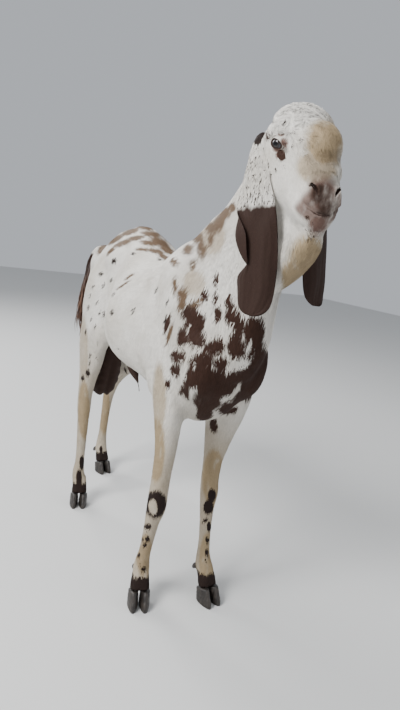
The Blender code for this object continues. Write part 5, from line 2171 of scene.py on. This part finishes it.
class Nodes:
    """A short way to write a material's nodes."""

    def __init__(self, name: str) -> None:
        """Starts a material.

        Args:
            name: the material's name.
        """
        self.material = bpy.data.materials.new(name)
        self.material.use_nodes = True
        self.tree = self.material.node_tree
        self.shader = self.tree.nodes["Principled BSDF"]

    def add(self, kind: str, **settings: object) -> bpy.types.Node:
        """Adds a node and sets its properties.

        Args:
            kind: the node's type.

        Returns:
            The node.
        """
        node = self.tree.nodes.new(kind)
        for key, value in settings.items():
            setattr(node, key, value)
        return node

    def join(self, value: object, socket: bpy.types.NodeSocket) -> None:
        """Links a socket, or sets a plain value.

        Args:
            value: a number or an output.
            socket: the input that it feeds.
        """
        if isinstance(value, bpy.types.NodeSocket):
            self.tree.links.new(value, socket)
        else:
            socket.default_value = value

    def attribute(self, name: str, vector: bool = False) -> bpy.types.NodeSocket:
        """A value kept at the points."""
        node = self.add("ShaderNodeAttribute", attribute_name=name)
        return node.outputs["Vector" if vector else "Fac"]

    def math(self, operation: str, first: object, second: object = 0.0) -> bpy.types.NodeSocket:
        """One sum.

        Args:
            operation: the operation's name.
            first: a value or an output.
            second: a value or an output.

        Returns:
            The node's output.
        """
        node = self.add("ShaderNodeMath", operation=operation)
        self.join(first, node.inputs[0])
        self.join(second, node.inputs[1])
        return node.outputs[0]

    def step(self, value: object, low: float, high: float) -> bpy.types.NodeSocket:
        """A smooth step from 0 at low to 1 at high.

        Args:
            value: a number or an output.
            low: where it starts to rise.
            high: where it is full.

        Returns:
            The node's output.
        """
        node = self.add("ShaderNodeMapRange", interpolation_type="SMOOTHSTEP")
        self.join(value, node.inputs["Value"])
        node.inputs["From Min"].default_value = low
        node.inputs["From Max"].default_value = high
        return node.outputs["Result"]

    def noise(
        self, place: object, scale: float, detail: float = 3.0, stretch: Row = (1, 1, 1)
    ) -> bpy.types.NodeSocket:
        """Smooth noise at a place.

        Args:
            place: where the noise is read.
            scale: how fine it is.
            detail: how many octaves it has.
            stretch: how it is stretched along each axis.

        Returns:
            The node's output.
        """
        turned = self.add("ShaderNodeMapping")
        self.join(place, turned.inputs["Vector"])
        turned.inputs["Scale"].default_value = stretch
        node = self.add("ShaderNodeTexNoise")
        self.join(turned.outputs["Vector"], node.inputs["Vector"])
        node.inputs["Scale"].default_value = scale
        node.inputs["Detail"].default_value = detail
        return node.outputs["Fac"]

    def mix(self, share: object, first: object, second: object, blend: str = "MIX") -> bpy.types.NodeSocket:
        """Mixes two colours, each a socket or linear red, green and blue.

        Args:
            share: how much of the second.
            first: a value or an output.
            second: a value or an output.
            blend: how they are blended.

        Returns:
            The node's output.
        """
        node = self.add("ShaderNodeMix", data_type="RGBA", blend_type=blend)
        self.join(share, node.inputs["Factor"])
        for value, socket in ((first, node.inputs["A"]), (second, node.inputs["B"])):
            self.join((*value, 1.0) if isinstance(value, tuple) else value, socket)
        return node.outputs["Result"]

    def bump(self, height: object, distance: float, strength: float = 1.0) -> None:
        """Gives the surface a bump.

        Args:
            height: how high.
            distance: how deep it is.
            strength: how strong it is.
        """
        node = self.add("ShaderNodeBump")
        self.join(height, node.inputs["Height"])
        node.inputs["Distance"].default_value = distance
        node.inputs["Strength"].default_value = strength
        self.tree.links.new(node.outputs["Normal"], self.shader.inputs["Normal"])


@dataclass(frozen=True)
class CoatColours:
    """The colours of skin and coat, as linear red, green and blue."""

    white: Row = (0.700, 0.672, 0.620)
    pale: Row = (0.560, 0.525, 0.465)
    cream: Row = (0.330, 0.250, 0.150)
    tan: Row = (0.120, 0.077, 0.047)
    cocoa: Row = (0.036, 0.0165, 0.0110)
    # Black marks; also painted shade on the ears
    black: Row = (0.019, 0.0110, 0.0088)
    # Dark bare skin; also painted shade inside the nostrils and along the mouth
    hide: Row = (0.029, 0.0155, 0.0115)
    rose: Row = (0.150, 0.092, 0.074)
    # The muzzle's own dark brown, and painted shade in creases, the dewlap's groove and under the domed nose
    shade: Row = (0.040, 0.023, 0.016)

    def material(self, name: str, tufts: bool) -> bpy.types.Material:
        """The finish of the skin, or of the tufts over it.

        Args:
            name: the material's name.
            tufts: true for the tufts, which vary in tone from one to the next.

        Returns:
            The material.
        """
        nodes = Nodes(name)
        root = nodes.attribute("Root", True)
        broad = nodes.noise(root, 9.0, 4.0)
        ragged = nodes.noise(root, 62.0, 4.0, (1.0, 1.0, 0.45))
        fine = nodes.noise(root, 240.0, 3.0)
        colour = nodes.mix(nodes.step(broad, 0.40, 0.68), self.white, self.pale)
        cream = nodes.math("MULTIPLY", nodes.attribute("cream"), nodes.step(ragged, 0.0, 0.45))
        colour = nodes.mix(cream, colour, self.cream)
        rose = nodes.math("MULTIPLY", nodes.attribute("rose"), nodes.step(ragged, 0.1, 0.5))
        colour = nodes.mix(rose, colour, self.rose)
        # Brown of the muzzle, and painted shade in creases and under the domed nose
        shade = nodes.math("MULTIPLY", nodes.attribute("shade"), nodes.step(ragged, 0.05, 0.60))
        colour = nodes.mix(shade, colour, self.shade)
        # Black and hide also carry painted shade on the ears, inside the nostrils and along the mouth
        for mark, tint, rough, soft in (
            ("tan", self.tan, 1.1, 0.30),
            ("cocoa", self.cocoa, 0.9, 0.10),
            ("black", self.black, 0.55, 0.10),
            ("hide", self.hide, 0.5, 0.12),
        ):
            edge = nodes.math("MULTIPLY", nodes.math("SUBTRACT", ragged, 0.5), rough)
            depth = nodes.math("ADD", nodes.attribute(mark), edge)
            colour = nodes.mix(nodes.step(depth, -soft, soft), colour, tint)
        spread = nodes.attribute("Tone") if tufts else fine
        tone = nodes.add("ShaderNodeMapRange")
        nodes.join(spread, tone.inputs["Value"])
        tone.inputs["To Min"].default_value = 0.80
        tone.inputs["To Max"].default_value = 1.14
        grey = nodes.add("ShaderNodeCombineColor")
        for channel in ("Red", "Green", "Blue"):
            nodes.join(tone.outputs["Result"], grey.inputs[channel])
        colour = nodes.mix(1.0, colour, grey.outputs["Color"], "MULTIPLY")
        nodes.join(colour, nodes.shader.inputs["Base Color"])
        nodes.shader.inputs["Roughness"].default_value = 0.62 if tufts else 0.72
        nodes.shader.inputs["Specular IOR Level"].default_value = 0.14
        if not tufts:
            nodes.bump(nodes.noise(root, 420.0, 3.0, (1.0, 1.0, 0.30)), 0.0012, 0.55)
        return nodes.material


@dataclass(frozen=True)
class EyeFinish:
    """The wet eye: a dark bar of a pupil, a grey-brown iris with a paler ring, and dark white."""

    pupil: Row = (0.004, 0.004, 0.005)
    iris: Row = (0.020, 0.017, 0.016)
    ring: Row = (0.050, 0.058, 0.072)
    white: Row = (0.060, 0.045, 0.040)

    def material(self) -> bpy.types.Material:
        """Builds the material from each point's place in the gaze's axes.

        Returns:
            The material.
        """
        nodes = Nodes("wet_eye")
        parts = nodes.add("ShaderNodeSeparateXYZ")
        nodes.join(nodes.attribute("Gaze", True), parts.inputs["Vector"])
        along, over, ahead = (parts.outputs[name] for name in ("X", "Y", "Z"))
        squares = nodes.math("ADD", nodes.math("POWER", along, 2.0), nodes.math("POWER", over, 2.0))
        across = nodes.math("SQRT", squares)
        threads = nodes.noise(nodes.attribute("Gaze", True), 30.0, 3.0)
        colour = nodes.mix(nodes.step(threads, 0.3, 0.7), self.iris, tuple(c * 1.8 for c in self.iris))
        inner = nodes.math("SUBTRACT", 1.0, nodes.step(across, 0.62, 0.70))
        ring = nodes.math("MULTIPLY", nodes.step(across, 0.50, 0.60), inner)
        colour = nodes.mix(ring, colour, self.ring)
        long_way = nodes.math("POWER", nodes.math("DIVIDE", along, 0.36), 4.0)
        short_way = nodes.math("POWER", nodes.math("DIVIDE", over, 0.20), 4.0)
        bar = nodes.math("ADD", long_way, short_way)
        colour = nodes.mix(nodes.step(bar, 0.7, 1.2), self.pupil, colour)
        colour = nodes.mix(nodes.step(across, 0.68, 0.76), colour, self.white)
        colour = nodes.mix(nodes.step(ahead, 0.0, 0.05), self.white, colour)
        nodes.join(colour, nodes.shader.inputs["Base Color"])
        nodes.shader.inputs["Roughness"].default_value = 0.10
        nodes.shader.inputs["Specular IOR Level"].default_value = 0.35
        return nodes.material


@dataclass(frozen=True)
class HornFinish:
    """Grey-brown hoof horn with rings and scuffed edges."""

    dark: Row = (0.012, 0.0092, 0.0078)
    light: Row = (0.040, 0.032, 0.026)

    def material(self) -> bpy.types.Material:
        """Builds the material.

        Returns:
            The material.
        """
        nodes = Nodes("hoof_horn")
        place = nodes.add("ShaderNodeTexCoord").outputs["Object"]
        streaks = nodes.noise(place, 130.0, 4.0, (1.0, 1.0, 0.25))
        rings = nodes.noise(place, 60.0, 3.0, (0.3, 0.3, 6.0))
        colour = nodes.mix(nodes.step(streaks, 0.35, 0.70), self.dark, self.light)
        colour = nodes.mix(nodes.step(rings, 0.50, 0.75), colour, self.dark)
        nodes.join(colour, nodes.shader.inputs["Base Color"])
        nodes.shader.inputs["Roughness"].default_value = 0.50
        nodes.bump(rings, 0.0006, 0.6)
        return nodes.material


@dataclass(frozen=True)
class BrushFinish:
    """Ginger-brown tail hair, darker towards the dock."""

    ginger: Row = (0.110, 0.050, 0.026)
    dark: Row = (0.040, 0.024, 0.020)

    def material(self) -> bpy.types.Material:
        """Builds the material.

        Returns:
            The material.
        """
        nodes = Nodes("tail_hair")
        place = nodes.add("ShaderNodeTexCoord").outputs["Object"]
        parts = nodes.add("ShaderNodeSeparateXYZ")
        nodes.join(place, parts.inputs["Vector"])
        strands = nodes.noise(place, 300.0, 3.0, (1.0, 1.0, 0.10))
        colour = nodes.mix(nodes.step(parts.outputs["Z"], 0.66, 0.79), self.ginger, self.dark)
        colour = nodes.mix(nodes.step(strands, 0.40, 0.75), colour, self.dark)
        nodes.join(colour, nodes.shader.inputs["Base Color"])
        nodes.shader.inputs["Roughness"].default_value = 0.5
        nodes.bump(strands, 0.0004, 0.5)
        return nodes.material


# The studio


@dataclass(frozen=True)
class Studio:
    """A plain pale floor and soft light."""

    floor_half: float = 9.0
    floor_colour: Row = (0.62, 0.62, 0.61)
    sky_colour: Row = (0.82, 0.86, 0.92)
    sky_strength: float = 0.60

    def build(self) -> None:
        """Makes the floor, the sky and the lamps."""
        bm = bmesh.new()
        bmesh.ops.create_grid(bm, x_segments=1, y_segments=1, size=self.floor_half)
        floor = object_from(bm, "floor")
        nodes = Nodes("pale_floor")
        nodes.shader.inputs["Base Color"].default_value = (*self.floor_colour, 1.0)
        nodes.shader.inputs["Roughness"].default_value = 0.85
        floor.data.materials.append(nodes.material)
        world = bpy.data.worlds.new("soft_sky")
        world.use_nodes = True
        background = world.node_tree.nodes["Background"]
        background.inputs["Color"].default_value = (*self.sky_colour, 1.0)
        background.inputs["Strength"].default_value = self.sky_strength
        bpy.context.scene.world = world
        self.lamp("key", (-3.0, -0.6, 3.0), 1.6, 230.0)
        self.lamp("fill", (2.6, -2.6, 2.0), 3.0, 40.0)
        self.lamp("back", (-0.8, 3.2, 3.0), 1.8, 130.0)

    def lamp(self, name: str, place: Row, size: float, power: float) -> None:
        """Adds one square lamp aimed at the goat's middle.

        Args:
            name: the lamp's name.
            place: where it hangs.
            size: how wide it is.
            power: its watts.
        """
        data = bpy.data.lights.new(name, "AREA")
        data.size = size
        data.energy = power
        made = bpy.data.objects.new(name, data)
        bpy.context.scene.collection.objects.link(made)
        aim = Vector((0, 0, 0.65)) - Vector(place)
        made.rotation_mode = "QUATERNION"
        made.rotation_quaternion = aim.to_track_quat("-Z", "Y")
        made.location = place


def report(made: bpy.types.Object) -> None:
    """Logs one piece."""
    log.info("%s: %d faces", made.name, len(made.data.polygons))


def main() -> None:
    """Builds the goat round its frame."""
    logging.basicConfig(level=logging.INFO, format="%(name)s: %(message)s")
    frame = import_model()
    stance = Stance()
    sight = Sight()
    log.info("drawing frame shift %s", tuple(round(value, 4) for value in stance.shift))
    ears = Ears(stance)
    skin = Skin(stance, ears, frame).build()
    log.info("skin: %d faces", len(skin.data.polygons))
    surface = BVHTree.FromPolygons(
        points_of(skin.data).tolist(), [tuple(face.vertices) for face in skin.data.polygons]
    )
    markings = Markings(stance, sight, surface)
    coat = Coat(stance, ears, markings, skin)
    places = ears.places(coat.points)
    markings.seed(coat.points, coat.lie(coat.points, coat.normals, places))
    unwrap = Unwrap(skin)
    log.info("unwrap done")
    colours = CoatColours()
    tuft_finish = colours.material("coat_tufts", True)
    pieces = coat.build(unwrap) + Wool(coat).build(unwrap)
    store(skin.data, "Root", coat.points)
    for mark, values in markings.read(coat.points, coat.normals, places).items():
        store(skin.data, mark.value, values)
    dressed(
        skin,
        (*SOLID_FLESH, "ear_right", "ear_left"),
        colours.material("skin", False),
        stance.shift,
    )
    for piece in pieces:
        report(dressed(piece, (), tuft_finish, stance.shift))
    report(dressed(Brush().build(), ("tail",), BrushFinish().material(), stance.shift))
    horn = HornFinish().material()
    for foot in FEET:
        outward = 1 if foot.x > 0 else -1
        for label, side in (("inner", -outward), ("outer", outward)):
            node = f"{foot.name}_claw_{label}"
            report(dressed(foot.claw(side, label), (node,), horn, stance.shift))
        report(dressed(foot.dewclaws(), (), horn, stance.shift))
    eye_finish = EyeFinish().material()
    for side in Side:
        node = f"eye_{side.name.lower()}"
        report(dressed(Eye(stance, side).build(), (node,), eye_finish, stance.shift))
    Studio().build()
    sight.camera(stance.shift)


if __name__ == "__main__":
    main()
